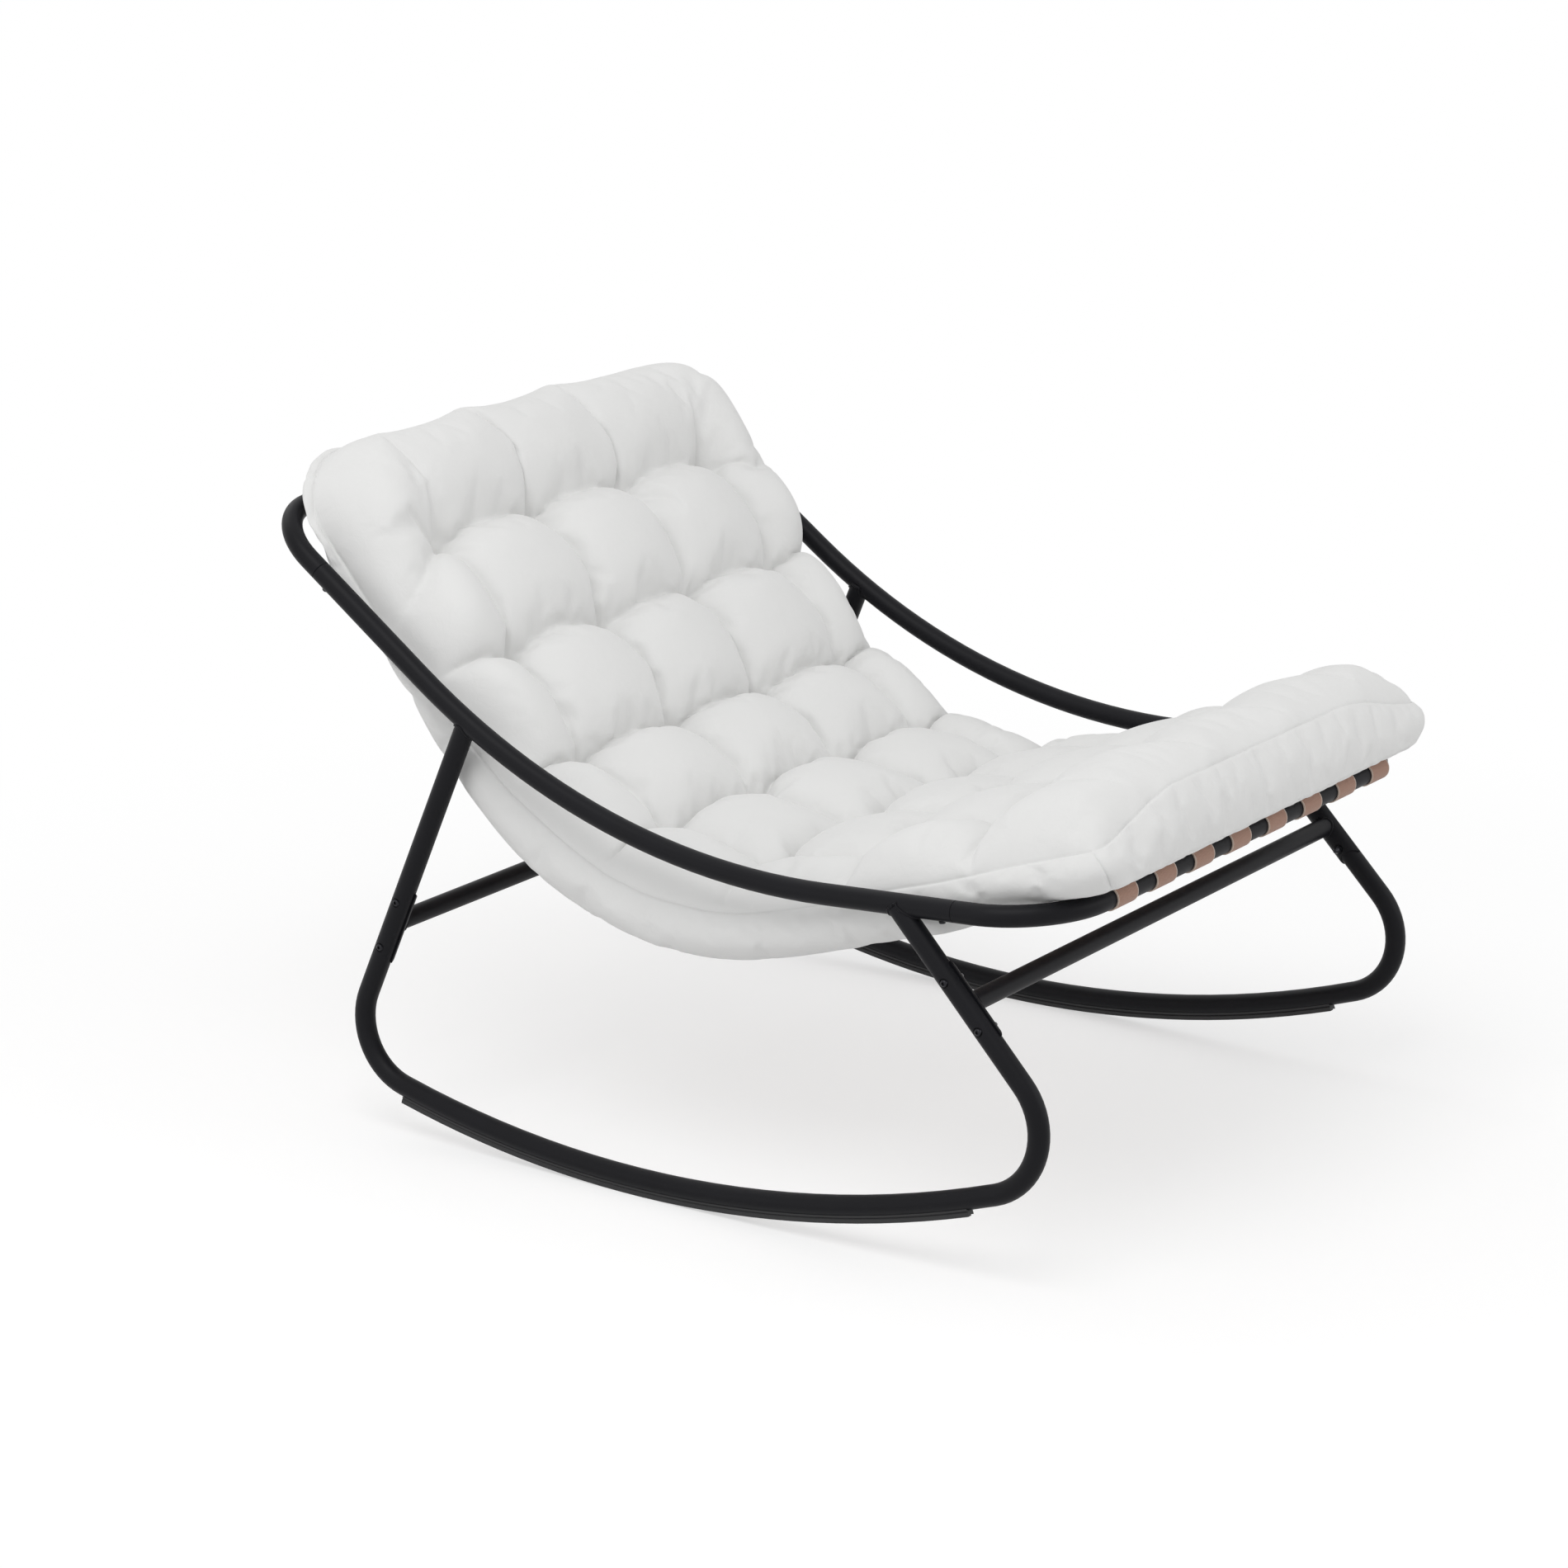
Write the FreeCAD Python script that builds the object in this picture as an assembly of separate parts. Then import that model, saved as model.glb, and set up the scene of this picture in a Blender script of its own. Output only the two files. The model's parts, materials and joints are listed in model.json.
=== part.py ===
import FreeCAD
import Part
import math
import os

# Rocking chaise lounge: a ring of bent steel tube welded on two rockers, two bolted cross
# bars, eight webbing straps hung from the ring's head and foot tubes, and a tufted cushion.
# Millimetres. X runs across the chair, Y along it with the foot end towards -Y, Z is up.
# The side view is drawn with y = 0 near the rockers' lowest point. At the end the whole
# chair moves along Y, so that its box is centred on the origin, with the floor at z = 0.

Vector = FreeCAD.Vector
across = Vector(1, 0, 0)

# Steel tube of the ring and the rockers. Its ends are all closed by welds or plugs, so the
# bent tubes stay solid inside, apart from the bores that the plug joints use.
tube_diameter = 28.0
tube_wall = 1.5

# Ring, seen from the side: each rail has one large arc between two straight ends
rail_spacing = 923.8
rail_low_y = -228.8
rail_low_z = 453.3
rail_arc_radius = 989.5
head_slope = 35.66
foot_slope = 3.6
head_straight = 228.0
foot_straight = 216.5
head_bend_radius = 86.0
foot_bend_radius = 115.0

# Plug joints: the ends of the two U tubes are necked and pushed into the rails
joint_to_bend = 24.0
plug_length = 40.0
plug_clearance = 0.15
plug_end_gap = 3.0
joint_chamfer = 0.8

# Rockers: one tube each, from the rear leg round the rocker arc to the front leg
rocker_spacing = 948.2
rocker_low_y = -2.6
rocker_radius = 1602.0
rocker_rear_angle = 13.92
rocker_front_angle = 20.04
rear_bend_radius = 88.6
rear_bend_angle = 99.2
front_bend_radius = 91.0
front_bend_angle = 113.7

# Floor strips under the rocker arcs
strip_drop = 6.5
strip_width = 20.0
strip_clearance = 0.15
strip_rear_inset = 7.0
strip_front_inset = 41.0
strip_groove_width = 6.0
strip_groove_depth = 1.5
strip_side_groove = 1.2
strip_cradle_shares = (1.0, 0.75, 0.4)

# Cross bars, placed along each leg from the end of its lower bend
bar_diameter = 26.0
bar_wall = 1.5
rear_bar_height = 113.4
front_bar_height = 119.8

# Saddle brackets and their bolts
saddle_length = 112.0
saddle_wall = 2.5
saddle_clearance = 0.2
saddle_half_angle = 84.0
saddle_end_slant = 13.0
bolt_spacing = 73.0
bolt_diameter = 6.0
bolt_clearance = 0.2
bolt_head_diameter = 10.5
bolt_head_height = 3.3
bolt_socket_width = 4.0
bolt_socket_depth = 2.0
seat_diameter = 13.0
nut_width = 10.0
nut_hex_height = 5.0
nut_height = 12.0
nut_bore_depth = 9.0
nut_bore_clearance = 0.05
thread_end_gap = 1.0

# Shapes of the heads, as shares of their own width and height
button_shoulder_share = 0.85
button_shoulder_height_share = 0.7
button_flat_share = 0.6
pan_flat_share = 0.8
dome_width_share = 0.94
dome_wall_share = 0.3
dome_flat_share = 0.6

# Screws in the plug joints and in the floor strips
rail_screw_diameter = 5.0
rail_screw_head_diameter = 9.5
rail_screw_head_height = 3.0
rail_screw_length = 9.0
rail_screw_from_joint = 20.0
strip_screw_count = 3
strip_screw_diameter = 4.0
strip_screw_head_diameter = 7.4
strip_screw_head_height = 2.2
strip_screw_recess = 1.5
strip_screw_length = 12.0
strip_screw_end_distance = 40.0
screw_clearance = 0.15

# Straps, and the sag of the sling that they make
strap_count = 8
strap_edge_inset = 129.4
strap_shift = 21.5
strap_width = 48.0
strap_thickness = 2.0
strap_play = 0.15
sling_radius = 450.0
sling_low_y = -40.7
sling_low_z = 341.2
strap_return = 55.0
strap_return_bend = 12.0
strap_tail = 35.0

# Cushion: puffs between sewn tufts, laid on the straps
cushion_length = 1530.0
cushion_head_reach = 45.0
cushion_side_gap = 15.9
cushion_gap = 0.3
tuft_column_pitch = 200.0
tuft_row_first = 176.0
tuft_row_pitches = (195.0, 191.0, 192.0, 208.0, 198.0, 198.0)
puff_heights = (114.0, 118.0, 110.0, 112.0, 99.0, 82.0, 102.0, 126.0)
edge_drops = (-16.0, 10.0, 26.0, 28.0, 28.0, 30.0, 24.0, -16.0)
tuft_depth_share = 0.46
seam_depth_share = 0.70
column_depth_share = 0.75
side_seam_share = 0.42
side_pinch = 7.0
side_bulge = 0.26
outer_crown_share = 0.97
edge_width = 30.0
flat_margin = 3.0
head_nose_height = 60.0
foot_nose_height = 108.0
nose_tuft_share = 0.94
nose_lift = 22.0
nose_pinch = 20.0
flank_share = 0.18
flank_swell = 0.74

# How far a cutting shape stands out past the piece that it cuts
cut_margin = 1.0

# Sizes that follow from the ones above
tube_radius = tube_diameter / 2
bore_radius = tube_radius - tube_wall
rail_x = rail_spacing / 2
rocker_low_z = tube_radius + strip_drop
loop_radius = tube_radius + strap_play + strap_thickness / 2
strap_pitch = (rail_spacing - 2 * strap_edge_inset) / (strap_count - 1)
strap_reach = abs(strap_shift) + (strap_count - 1) / 2 * strap_pitch + strap_width / 2
flat_half_width = strap_reach + flat_margin
cushion_width = rail_spacing - tube_diameter - 2 * cushion_side_gap
saddle_inner = tube_radius + saddle_clearance
saddle_outer = saddle_inner + saddle_wall


def sine(angle):
    return math.sin(math.radians(angle))


def cosine(angle):
    return math.cos(math.radians(angle))


class SidePath:
    """Straight runs and tangent arcs in a side view, walked from a point and a heading."""

    def __init__(self, y, z, heading):
        self.y = y
        self.z = z
        self.heading = heading
        self.steps = []

    def run(self, length):
        """Walk straight on."""
        self.steps.append(("run", self.y, self.z, self.heading, length, 0.0))
        self.y += length * cosine(self.heading)
        self.z += length * sine(self.heading)
        return self

    def turn(self, radius, angle):
        """Walk round an arc: a positive angle turns left, a negative one right."""
        self.steps.append(("turn", self.y, self.z, self.heading, radius, angle))
        side = math.copysign(1.0, angle)
        centre_y = self.y - side * radius * sine(self.heading)
        centre_z = self.z + side * radius * cosine(self.heading)
        self.heading += angle
        self.y = centre_y + side * radius * sine(self.heading)
        self.z = centre_z - side * radius * cosine(self.heading)
        return self

    def edges(self, offset=0.0):
        """Edges of the path in the plane x = 0, moved to its left by an offset."""
        result = []
        for kind, y, z, heading, size, angle in self.steps:
            start = Vector(0, y - offset * sine(heading), z + offset * cosine(heading))
            if kind == "run":
                way = Vector(0, cosine(heading), sine(heading))
                result.append(Part.makeLine(start, start + way * size))
                continue
            side = math.copysign(1.0, angle)
            centre = Vector(0, y - side * size * sine(heading), z + side * size * cosine(heading))
            arm = start - centre
            middle = centre + turned(arm, angle / 2)
            end = centre + turned(arm, angle)
            result.append(Part.Arc(start, middle, end).toShape())
        return result

    def end(self):
        """The point reached, in the plane x = 0."""
        return Vector(0, self.y, self.z)

    def band(self, thickness):
        """Face of a band of this thickness that has the path as its middle line."""
        left = self.edges(thickness / 2)
        right = self.edges(-thickness / 2)
        caps = [
            Part.makeLine(left[0].valueAt(left[0].FirstParameter),
                          right[0].valueAt(right[0].FirstParameter)),
            Part.makeLine(left[-1].valueAt(left[-1].LastParameter),
                          right[-1].valueAt(right[-1].LastParameter)),
        ]
        return Part.Face(Part.Wire(Part.__sortEdges__(left + right + caps)))


def turned(arm, angle):
    """A side-view vector turned to the left."""
    return Vector(0, arm.y * cosine(angle) - arm.z * sine(angle),
                  arm.y * sine(angle) + arm.z * cosine(angle))


def pipe(edges, outer, inner=0.0):
    """Round tube, or bar where inner is 0, along a chain of tangent edges."""
    spine = Part.Wire(edges)
    first = edges[0]
    start = first.valueAt(first.FirstParameter)
    way = first.tangentAt(first.FirstParameter)
    profile = Part.Face(Part.Wire(Part.makeCircle(outer, start, way)))
    if inner:
        profile = profile.cut(Part.Face(Part.Wire(Part.makeCircle(inner, start, way))))
        profile = profile.Faces[0]
    return spine.makePipe(profile).Solids[0]


def ring(outer, inner, start, way, length):
    """Straight piece of tube."""
    solid = Part.makeCylinder(outer, length, start, way)
    return solid.cut(Part.makeCylinder(inner, length, start, way))


def fused(first, others):
    return first.multiFuse(others).removeSplitter()


def one_solid(shape):
    """The single solid inside a result, so that each node holds plain solids."""
    return max(shape.Solids, key=lambda solid: solid.Volume)


def revolved(points, base, way):
    """Solid turned from a closed outline of (radius, height) points about an axis."""
    corners = [Vector(radius, 0, height) for radius, height in points]
    outline = Part.makePolygon(corners + corners[:1])
    solid = Part.Face(outline).revolve(Vector(0, 0, 0), Vector(0, 0, 1), 360)
    solid = Part.Solid(solid) if solid.ShapeType == "Shell" else solid
    return placed(solid, base, way)


def placed(shape, base, way):
    """A shape drawn along +Z from the origin, moved to a base and pointed along a way."""
    moved = shape.copy()
    moved.Placement = FreeCAD.Placement(base, FreeCAD.Rotation(Vector(0, 0, 1), way))
    return moved


# Rail side view. It is walked from the foot joint, and it gives the two ends of the ring.

def rail_path():
    to_foot = SidePath(rail_low_y, rail_low_z, 180.0)
    to_foot.turn(rail_arc_radius, -foot_slope)
    to_foot.run(foot_straight - joint_to_bend)
    path = SidePath(to_foot.y, to_foot.z, -foot_slope)
    path.run(foot_straight - joint_to_bend)
    path.turn(rail_arc_radius, foot_slope + head_slope)
    path.run(head_straight - joint_to_bend)
    return path


rail_side = rail_path()
head_joint = rail_side.end()
foot_joint = Vector(0, rail_side.steps[0][1], rail_side.steps[0][2])
head_way = Vector(0, cosine(head_slope), sine(head_slope))
foot_way = Vector(0, -cosine(foot_slope), sine(foot_slope))
head_centre = head_joint + head_way * (joint_to_bend + head_bend_radius)
foot_centre = foot_joint + foot_way * (joint_to_bend + foot_bend_radius)


def rail_edges(side):
    edges = rail_side.edges()
    for edge in edges:
        edge.translate(across * (side * rail_x))
    return edges


def rail_height(y):
    """Height of the rail's centreline above the floor at a place along the chair."""
    arc_z = rail_low_z + rail_arc_radius
    foot_end = rail_low_y - rail_arc_radius * sine(foot_slope)
    head_end = rail_low_y + rail_arc_radius * sine(head_slope)
    if y < foot_end:
        level = arc_z - rail_arc_radius * cosine(foot_slope)
        return level + (foot_end - y) * math.tan(math.radians(foot_slope))
    if y > head_end:
        level = arc_z - rail_arc_radius * cosine(head_slope)
        return level + (y - head_end) * math.tan(math.radians(head_slope))
    return arc_z - math.sqrt(rail_arc_radius ** 2 - (y - rail_low_y) ** 2)


# Ring: two rails and the two U tubes that plug into them

def chamfered(tube, centres):
    """A tube with its outer edge broken at each of these ends, so that a joint shows as a fine groove."""
    rims = [edge for edge in tube.Edges for centre in centres
            if edge.Closed and abs(edge.Length - math.pi * tube_diameter) < 0.1
            and edge.CenterOfMass.distanceToPoint(centre) < 0.1]
    return tube.makeChamfer(joint_chamfer, rims)


def side_rail(side):
    """Bent tube, bored at both ends for the plugs."""
    mouths = [joint + across * (side * rail_x) for joint in (head_joint, foot_joint)]
    rail = chamfered(pipe(rail_edges(side), tube_radius), mouths)
    cuts = [rail_screw_hole(side, end) for end in ("head", "foot")]
    for joint, way in ((head_joint, head_way), (foot_joint, foot_way)):
        depth = plug_length + plug_end_gap
        mouth = joint + across * (side * rail_x)
        cuts.append(Part.makeCylinder(bore_radius, depth, mouth - way * depth, way))
    return one_solid(rail.cut(cuts))


def bend_edges(centre, way, radius):
    """Centreline of an end tube between the starts of its two bends, from -X to +X."""
    corner = centre - across * (rail_x - radius)
    far_corner = centre + across * (rail_x - radius)
    diagonal = radius * (1 - cosine(45))
    start = centre - way * radius - across * rail_x
    far_start = centre - way * radius + across * rail_x
    middle = centre - way * diagonal - across * (rail_x - diagonal)
    far_middle = centre - way * diagonal + across * (rail_x - diagonal)
    return [Part.Arc(start, middle, corner).toShape(), Part.makeLine(corner, far_corner),
            Part.Arc(far_corner, far_middle, far_start).toShape()]


def end_tube(joint, way, centre, radius, end):
    """U tube with necked ends: the straps loop over its straight middle."""
    left = joint - across * rail_x
    right = joint + across * rail_x
    bends = bend_edges(centre, way, radius)
    first = Part.makeLine(left, left + way * joint_to_bend)
    last = Part.makeLine(right + way * joint_to_bend, right)
    tube = chamfered(pipe([first] + bends + [last], tube_radius), (left, right))
    plug_radius = bore_radius - plug_clearance
    plugs = [Part.makeCylinder(plug_radius, plug_length, point, way * -1) for point in (left, right)]
    drills = [rail_screw_hole(side, end) for side in (-1, 1)]
    return one_solid(fused(tube, plugs).cut(drills))


def end_envelope(centre, way, radius):
    """Room that an end tube's bends and middle take up, with half the straps' play."""
    return pipe(bend_edges(centre, way, radius), tube_radius + strap_play / 2)


def rail_screw_axis(side, end):
    """Where a joint's screw enters the rail from below, and the way it points."""
    joint, way = (head_joint, head_way) if end == "head" else (foot_joint, foot_way)
    up = Vector(0, -way.y * way.z, way.y * way.y)
    up.normalize()
    point = joint - way * rail_screw_from_joint + across * (side * rail_x)
    return point - up * tube_radius, up


def rail_screw_hole(side, end):
    base, up = rail_screw_axis(side, end)
    radius = rail_screw_diameter / 2 + screw_clearance
    return Part.makeCylinder(radius, rail_screw_length, base - up, up)


def pan_screw(base, way, diameter, head_diameter, head_height, length):
    """Screw with a tapered pan head: the head's flat underside is at the base."""
    head = head_diameter / 2
    outline = [(0, length), (diameter / 2, length), (diameter / 2, 0), (head, 0),
               (head * pan_flat_share, -head_height), (0, -head_height)]
    return revolved(outline, base, way)


def rail_screw(side, end):
    base, up = rail_screw_axis(side, end)
    return pan_screw(base, up, rail_screw_diameter, rail_screw_head_diameter,
                     rail_screw_head_height, rail_screw_length - thread_end_gap)


# Rockers. Each lies in a plane that leans inwards, so that its legs meet the rails.

def leg_path(bend_radius, bend_angle, arc_angle, forward):
    """Side view of half a rocker, from its lowest point to the end of the bend."""
    path = SidePath(rocker_low_y, 0.0, 0.0 if forward > 0 else 180.0)
    path.turn(rocker_radius, forward * arc_angle)
    path.turn(bend_radius, forward * bend_angle)
    return path


rear_half = leg_path(rear_bend_radius, rear_bend_angle, rocker_rear_angle, 1)
front_half = leg_path(front_bend_radius, front_bend_angle, rocker_front_angle, -1)


def leg_length(half):
    """Length of a leg from its bend up to the rail's centreline."""
    low, high = 0.0, 1000.0
    for _ in range(50):
        middle = (low + high) / 2
        y = half.y + middle * cosine(half.heading)
        z = half.z + rocker_low_z + middle * sine(half.heading)
        if z < rail_height(y):
            low = middle
        else:
            high = middle
    return low


rear_leg = leg_length(rear_half)
front_leg = leg_length(front_half)
rear_top = rear_half.z + rear_leg * sine(rear_half.heading)
front_top = front_half.z + front_leg * sine(front_half.heading)
lean = math.degrees(math.atan((rocker_spacing - rail_spacing) / (rear_top + front_top)))


class RockerPlane:
    """The leaning plane of one rocker, with its outward normal."""

    def __init__(self, side):
        self.side = side
        self.base = Vector(side * rocker_spacing / 2, 0, rocker_low_z)
        self.up = Vector(-side * sine(lean), 0, cosine(lean))
        self.out = Vector(side * cosine(lean), 0, sine(lean))
        self.placement = FreeCAD.Placement(self.base, FreeCAD.Rotation(Vector(0, 1, 0), -side * lean))

    def point(self, y, height):
        return self.base + Vector(0, y, 0) + self.up * height

    def leg_point(self, half, distance):
        return self.point(half.y + distance * cosine(half.heading),
                          half.z + distance * sine(half.heading))

    def leg_way(self, half):
        return Vector(0, cosine(half.heading), 0) + self.up * sine(half.heading)

    def arc_centre(self):
        return self.point(rocker_low_y, rocker_radius)


def rocker_edges(plane):
    path = SidePath(rear_half.y + rear_leg * cosine(rear_half.heading), rear_top,
                    rear_half.heading + 180)
    path.run(rear_leg)
    path.turn(rear_bend_radius, -rear_bend_angle)
    path.turn(rocker_radius, -rocker_rear_angle - rocker_front_angle)
    path.turn(front_bend_radius, -front_bend_angle)
    path.run(front_leg)
    edges = path.edges()
    for edge in edges:
        edge.Placement = plane.placement.multiply(edge.Placement)
    return edges


legs = ((rear_half, rear_bar_height), (front_half, front_bar_height))


def bolt_points(plane, half, height):
    return [plane.leg_point(half, height + step * bolt_spacing / 2) for step in (-1, 1)]


seat_depth = tube_radius - math.sqrt(tube_radius ** 2 - (seat_diameter / 2) ** 2)
seat_level = tube_radius - seat_depth
nut_seat_level = math.sqrt(saddle_outer ** 2 - (seat_diameter / 2) ** 2)


def rocker_tube(side):
    """Bent tube with a pressed flat seat under each bolt head, coped under its rail."""
    plane = RockerPlane(side)
    tube = pipe(rocker_edges(plane), tube_radius)
    cuts = []
    for half, height in legs:
        for point in bolt_points(plane, half, height):
            cuts.append(Part.makeCylinder(seat_diameter / 2, tube_radius,
                                          point + plane.out * seat_level, plane.out))
            cuts.append(Part.makeCylinder(bolt_diameter / 2 + bolt_clearance, 3 * tube_radius,
                                          point - plane.out * 2 * tube_radius, plane.out))
    for angle in strip_screw_angles():
        cuts.append(strip_screw_hole(plane, angle))
    cuts.append(pipe(rail_edges(side), tube_radius))
    return one_solid(tube.cut(cuts))


# Floor strips: a profile swept round the rocker arc, hollowed by the tube, with round ends

strip_rear_end = rocker_rear_angle - math.degrees(strip_rear_inset / rocker_radius)
strip_front_end = rocker_front_angle - math.degrees(strip_front_inset / rocker_radius)


def strip_profile(plane):
    """Cross-section at the lowest point: a level grooved sole, grooved sides and a cradle on top."""
    half = strip_width / 2
    groove = strip_groove_width / 2
    step = strip_side_groove
    cradle = tube_radius + strip_clearance
    right = [(groove, 0), (half, 0), (half, strip_drop - step), (half - step, strip_drop),
             (half, strip_drop + step)]
    for share in strip_cradle_shares:
        x = half * share
        right.append((x, rocker_low_z - math.sqrt(cradle ** 2 - x ** 2) - strip_clearance))
    left = [(-x, z) for x, z in reversed(right)]
    corners = right + left + [(-groove, strip_groove_depth), (groove, strip_groove_depth)]
    points = [Vector(plane.base.x + x, rocker_low_y, z) for x, z in corners]
    return Part.Face(Part.makePolygon(points + points[:1]))


def arc_turn(plane, shape, angle):
    """Turn a shape round the rocker arc, towards the head end for a positive angle."""
    turned_shape = shape.copy()
    turned_shape.rotate(plane.arc_centre(), across_plane(plane), angle)
    return turned_shape


def across_plane(plane):
    return plane.out * plane.side


def strip_screw_angles():
    """Angles of the strip's screws from the lowest point, evenly spread between its ends."""
    margin = math.degrees(strip_screw_end_distance / rocker_radius)
    first = -strip_front_end + margin
    last = strip_rear_end - margin
    step = (last - first) / (strip_screw_count - 1)
    return [first + step * index for index in range(strip_screw_count)]


def strip_screw_hole(plane, angle):
    base = plane.point(rocker_low_y, -rocker_low_z)
    hole = Part.makeCylinder(strip_screw_diameter / 2 + screw_clearance,
                             rocker_low_z, base, plane.up)
    return arc_turn(plane, hole, angle)


def floor_strip(side):
    plane = RockerPlane(side)
    start = arc_turn(plane, strip_profile(plane), -strip_front_end)
    blank = start.revolve(plane.arc_centre(), across_plane(plane), strip_front_end + strip_rear_end)
    cuts = []
    half = strip_width / 2
    for angle, way in ((-strip_front_end, -1), (strip_rear_end, 1)):
        base = plane.point(rocker_low_y, -rocker_low_z - strip_width)
        round_end = Part.makeCylinder(half, 3 * strip_width, base - Vector(0, way * half, 0), plane.up)
        corner = Part.makeBox(2 * strip_width, strip_width, 3 * strip_width)
        corner.translate(Vector(-strip_width, -strip_width / 2, 0))
        corner = placed(corner, base - Vector(0, way * (half - strip_width / 2), 0), plane.up)
        cuts.append(arc_turn(plane, corner.cut(round_end), angle))
    for angle in strip_screw_angles():
        cuts.append(strip_screw_hole(plane, angle))
        base = plane.point(rocker_low_y, -rocker_low_z - strip_drop)
        recess = Part.makeCylinder(strip_screw_head_diameter / 2 + screw_clearance,
                                   strip_drop + strip_screw_recess + strip_screw_head_height,
                                   base, plane.up)
        cuts.append(arc_turn(plane, recess, angle))
    return one_solid(blank.cut(cuts))


def strip_screw(plane, angle):
    level = strip_screw_recess + strip_screw_head_height - rocker_low_z
    screw = pan_screw(plane.point(rocker_low_y, level), plane.up, strip_screw_diameter,
                      strip_screw_head_diameter, strip_screw_head_height, strip_screw_length)
    return arc_turn(plane, screw, angle)


# Cross bars, the saddles that carry them, and the bolts and dome nuts

def cross_bar(half, height):
    """Straight tube, coped at each end to the round back of its saddle."""
    left = RockerPlane(-1)
    right = RockerPlane(1)
    start = left.leg_point(half, height)
    length = right.leg_point(half, height).x - start.x
    bar = ring(bar_diameter / 2, bar_diameter / 2 - bar_wall, start, across, length)
    copes = []
    for plane in (left, right):
        way = plane.leg_way(half)
        copes.append(Part.makeCylinder(saddle_outer, saddle_length,
                                       plane.leg_point(half, height) - way * saddle_length / 2, way))
    return one_solid(bar.cut(copes))


def saddle_bracket(side, half, height):
    """Half-round saddle with slanted ends, and a flat seat under each nut."""
    plane = RockerPlane(side)
    way = plane.leg_way(half)
    middle = plane.leg_point(half, height)
    inward = plane.out * -1
    sideways = way.cross(inward)
    shell = ring(saddle_outer, saddle_inner, middle - way * saddle_length / 2, way, saddle_length)
    edge = saddle_outer * cosine(saddle_half_angle)
    reach = saddle_outer + cut_margin
    slant = saddle_end_slant
    outline = [(-saddle_length / 2, edge), (saddle_length / 2, edge),
               (saddle_length / 2 - slant, reach), (-saddle_length / 2 + slant, reach)]
    corners = [middle + way * along + inward * level - sideways * reach for along, level in outline]
    prism = Part.Face(Part.makePolygon(corners + corners[:1])).extrude(sideways * 2 * reach)
    saddle = shell.common(prism)
    cuts = []
    for point in bolt_points(plane, half, height):
        cuts.append(Part.makeCylinder(seat_diameter / 2, saddle_outer,
                                      point + inward * nut_seat_level, inward))
        cuts.append(Part.makeCylinder(bolt_diameter / 2 + bolt_clearance, saddle_outer, point, inward))
    return one_solid(saddle.cut(cuts))


def hexagon(width, height):
    """Hexagonal prism along +Z, measured across its flats."""
    corner = width / 2 / cosine(30)
    points = [Vector(corner * cosine(60 * turn), corner * sine(60 * turn), 0) for turn in range(6)]
    return Part.Face(Part.makePolygon(points + points[:1])).extrude(Vector(0, 0, height))


def bracket_bolt(plane, point):
    """Button-head bolt with a hexagon socket: it goes inwards through the leg and the saddle."""
    head = bolt_head_diameter / 2
    radius = bolt_diameter / 2
    length = seat_level + nut_seat_level + nut_bore_depth - thread_end_gap
    outline = [(0, length), (radius, length), (radius, 0), (head, 0),
               (head * button_shoulder_share, -bolt_head_height * button_shoulder_height_share),
               (head * button_flat_share, -bolt_head_height), (0, -bolt_head_height)]
    bolt = revolved(outline, Vector(0, 0, 0), Vector(0, 0, 1))
    socket = hexagon(bolt_socket_width, bolt_socket_depth + cut_margin)
    socket.translate(Vector(0, 0, -bolt_head_height - cut_margin))
    return placed(one_solid(bolt.cut(socket)), point + plane.out * seat_level, plane.out * -1)


def dome_nut(plane, point):
    """Hexagon nut closed by a dome, on the inner side of the saddle."""
    dome = nut_width / 2 * dome_width_share
    rise = nut_height - nut_hex_height
    bore = bolt_diameter / 2 + nut_bore_clearance
    outline = [(0, nut_hex_height), (dome, nut_hex_height),
               (dome, nut_hex_height + rise * dome_wall_share),
               (dome * dome_flat_share, nut_height), (0, nut_height)]
    cap = revolved(outline, Vector(0, 0, 0), Vector(0, 0, 1))
    nut = fused(hexagon(nut_width, nut_hex_height), [cap])
    nut = one_solid(nut.cut(Part.makeCylinder(bore, nut_bore_depth)))
    return placed(nut, point - plane.out * nut_seat_level, plane.out * -1)


# Sling: the straps' middle line leaves the head tube, sags round an arc and meets the foot tube

def sling_slope(tube_centre):
    """Slope of the run that touches a tube's strap loop and the sling's arc."""
    gap_y = sling_low_y - tube_centre.y
    gap_z = sling_low_z + sling_radius - tube_centre.z
    distance = math.hypot(gap_y, gap_z)
    swing = math.degrees(math.asin((sling_radius + loop_radius) / distance))
    return swing - math.degrees(math.atan2(gap_z, abs(gap_y)))


head_run_slope = sling_slope(head_centre)
foot_run_slope = sling_slope(foot_centre)


def run_length(tube_centre):
    gap_y = sling_low_y - tube_centre.y
    gap_z = sling_low_z + sling_radius - tube_centre.z
    return math.sqrt(gap_y ** 2 + gap_z ** 2 - (sling_radius + loop_radius) ** 2)


head_run = run_length(head_centre)
foot_run = run_length(foot_centre)
head_leave = head_centre + Vector(0, -sine(head_run_slope), cosine(head_run_slope)) * loop_radius


def sling_path(head_extra=0.0, foot_extra=0.0, lift=0.0):
    """The sling from head to foot, lengthened past the tubes and lifted off its middle line."""
    heading = 180 + head_run_slope
    y = head_leave.y - head_extra * cosine(heading) + lift * sine(heading)
    z = head_leave.z - head_extra * sine(heading) - lift * cosine(heading)
    path = SidePath(y, z, heading)
    path.run(head_run + head_extra)
    path.turn(sling_radius - lift, -head_run_slope - foot_run_slope)
    path.run(foot_run + foot_extra)
    return path


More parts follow.
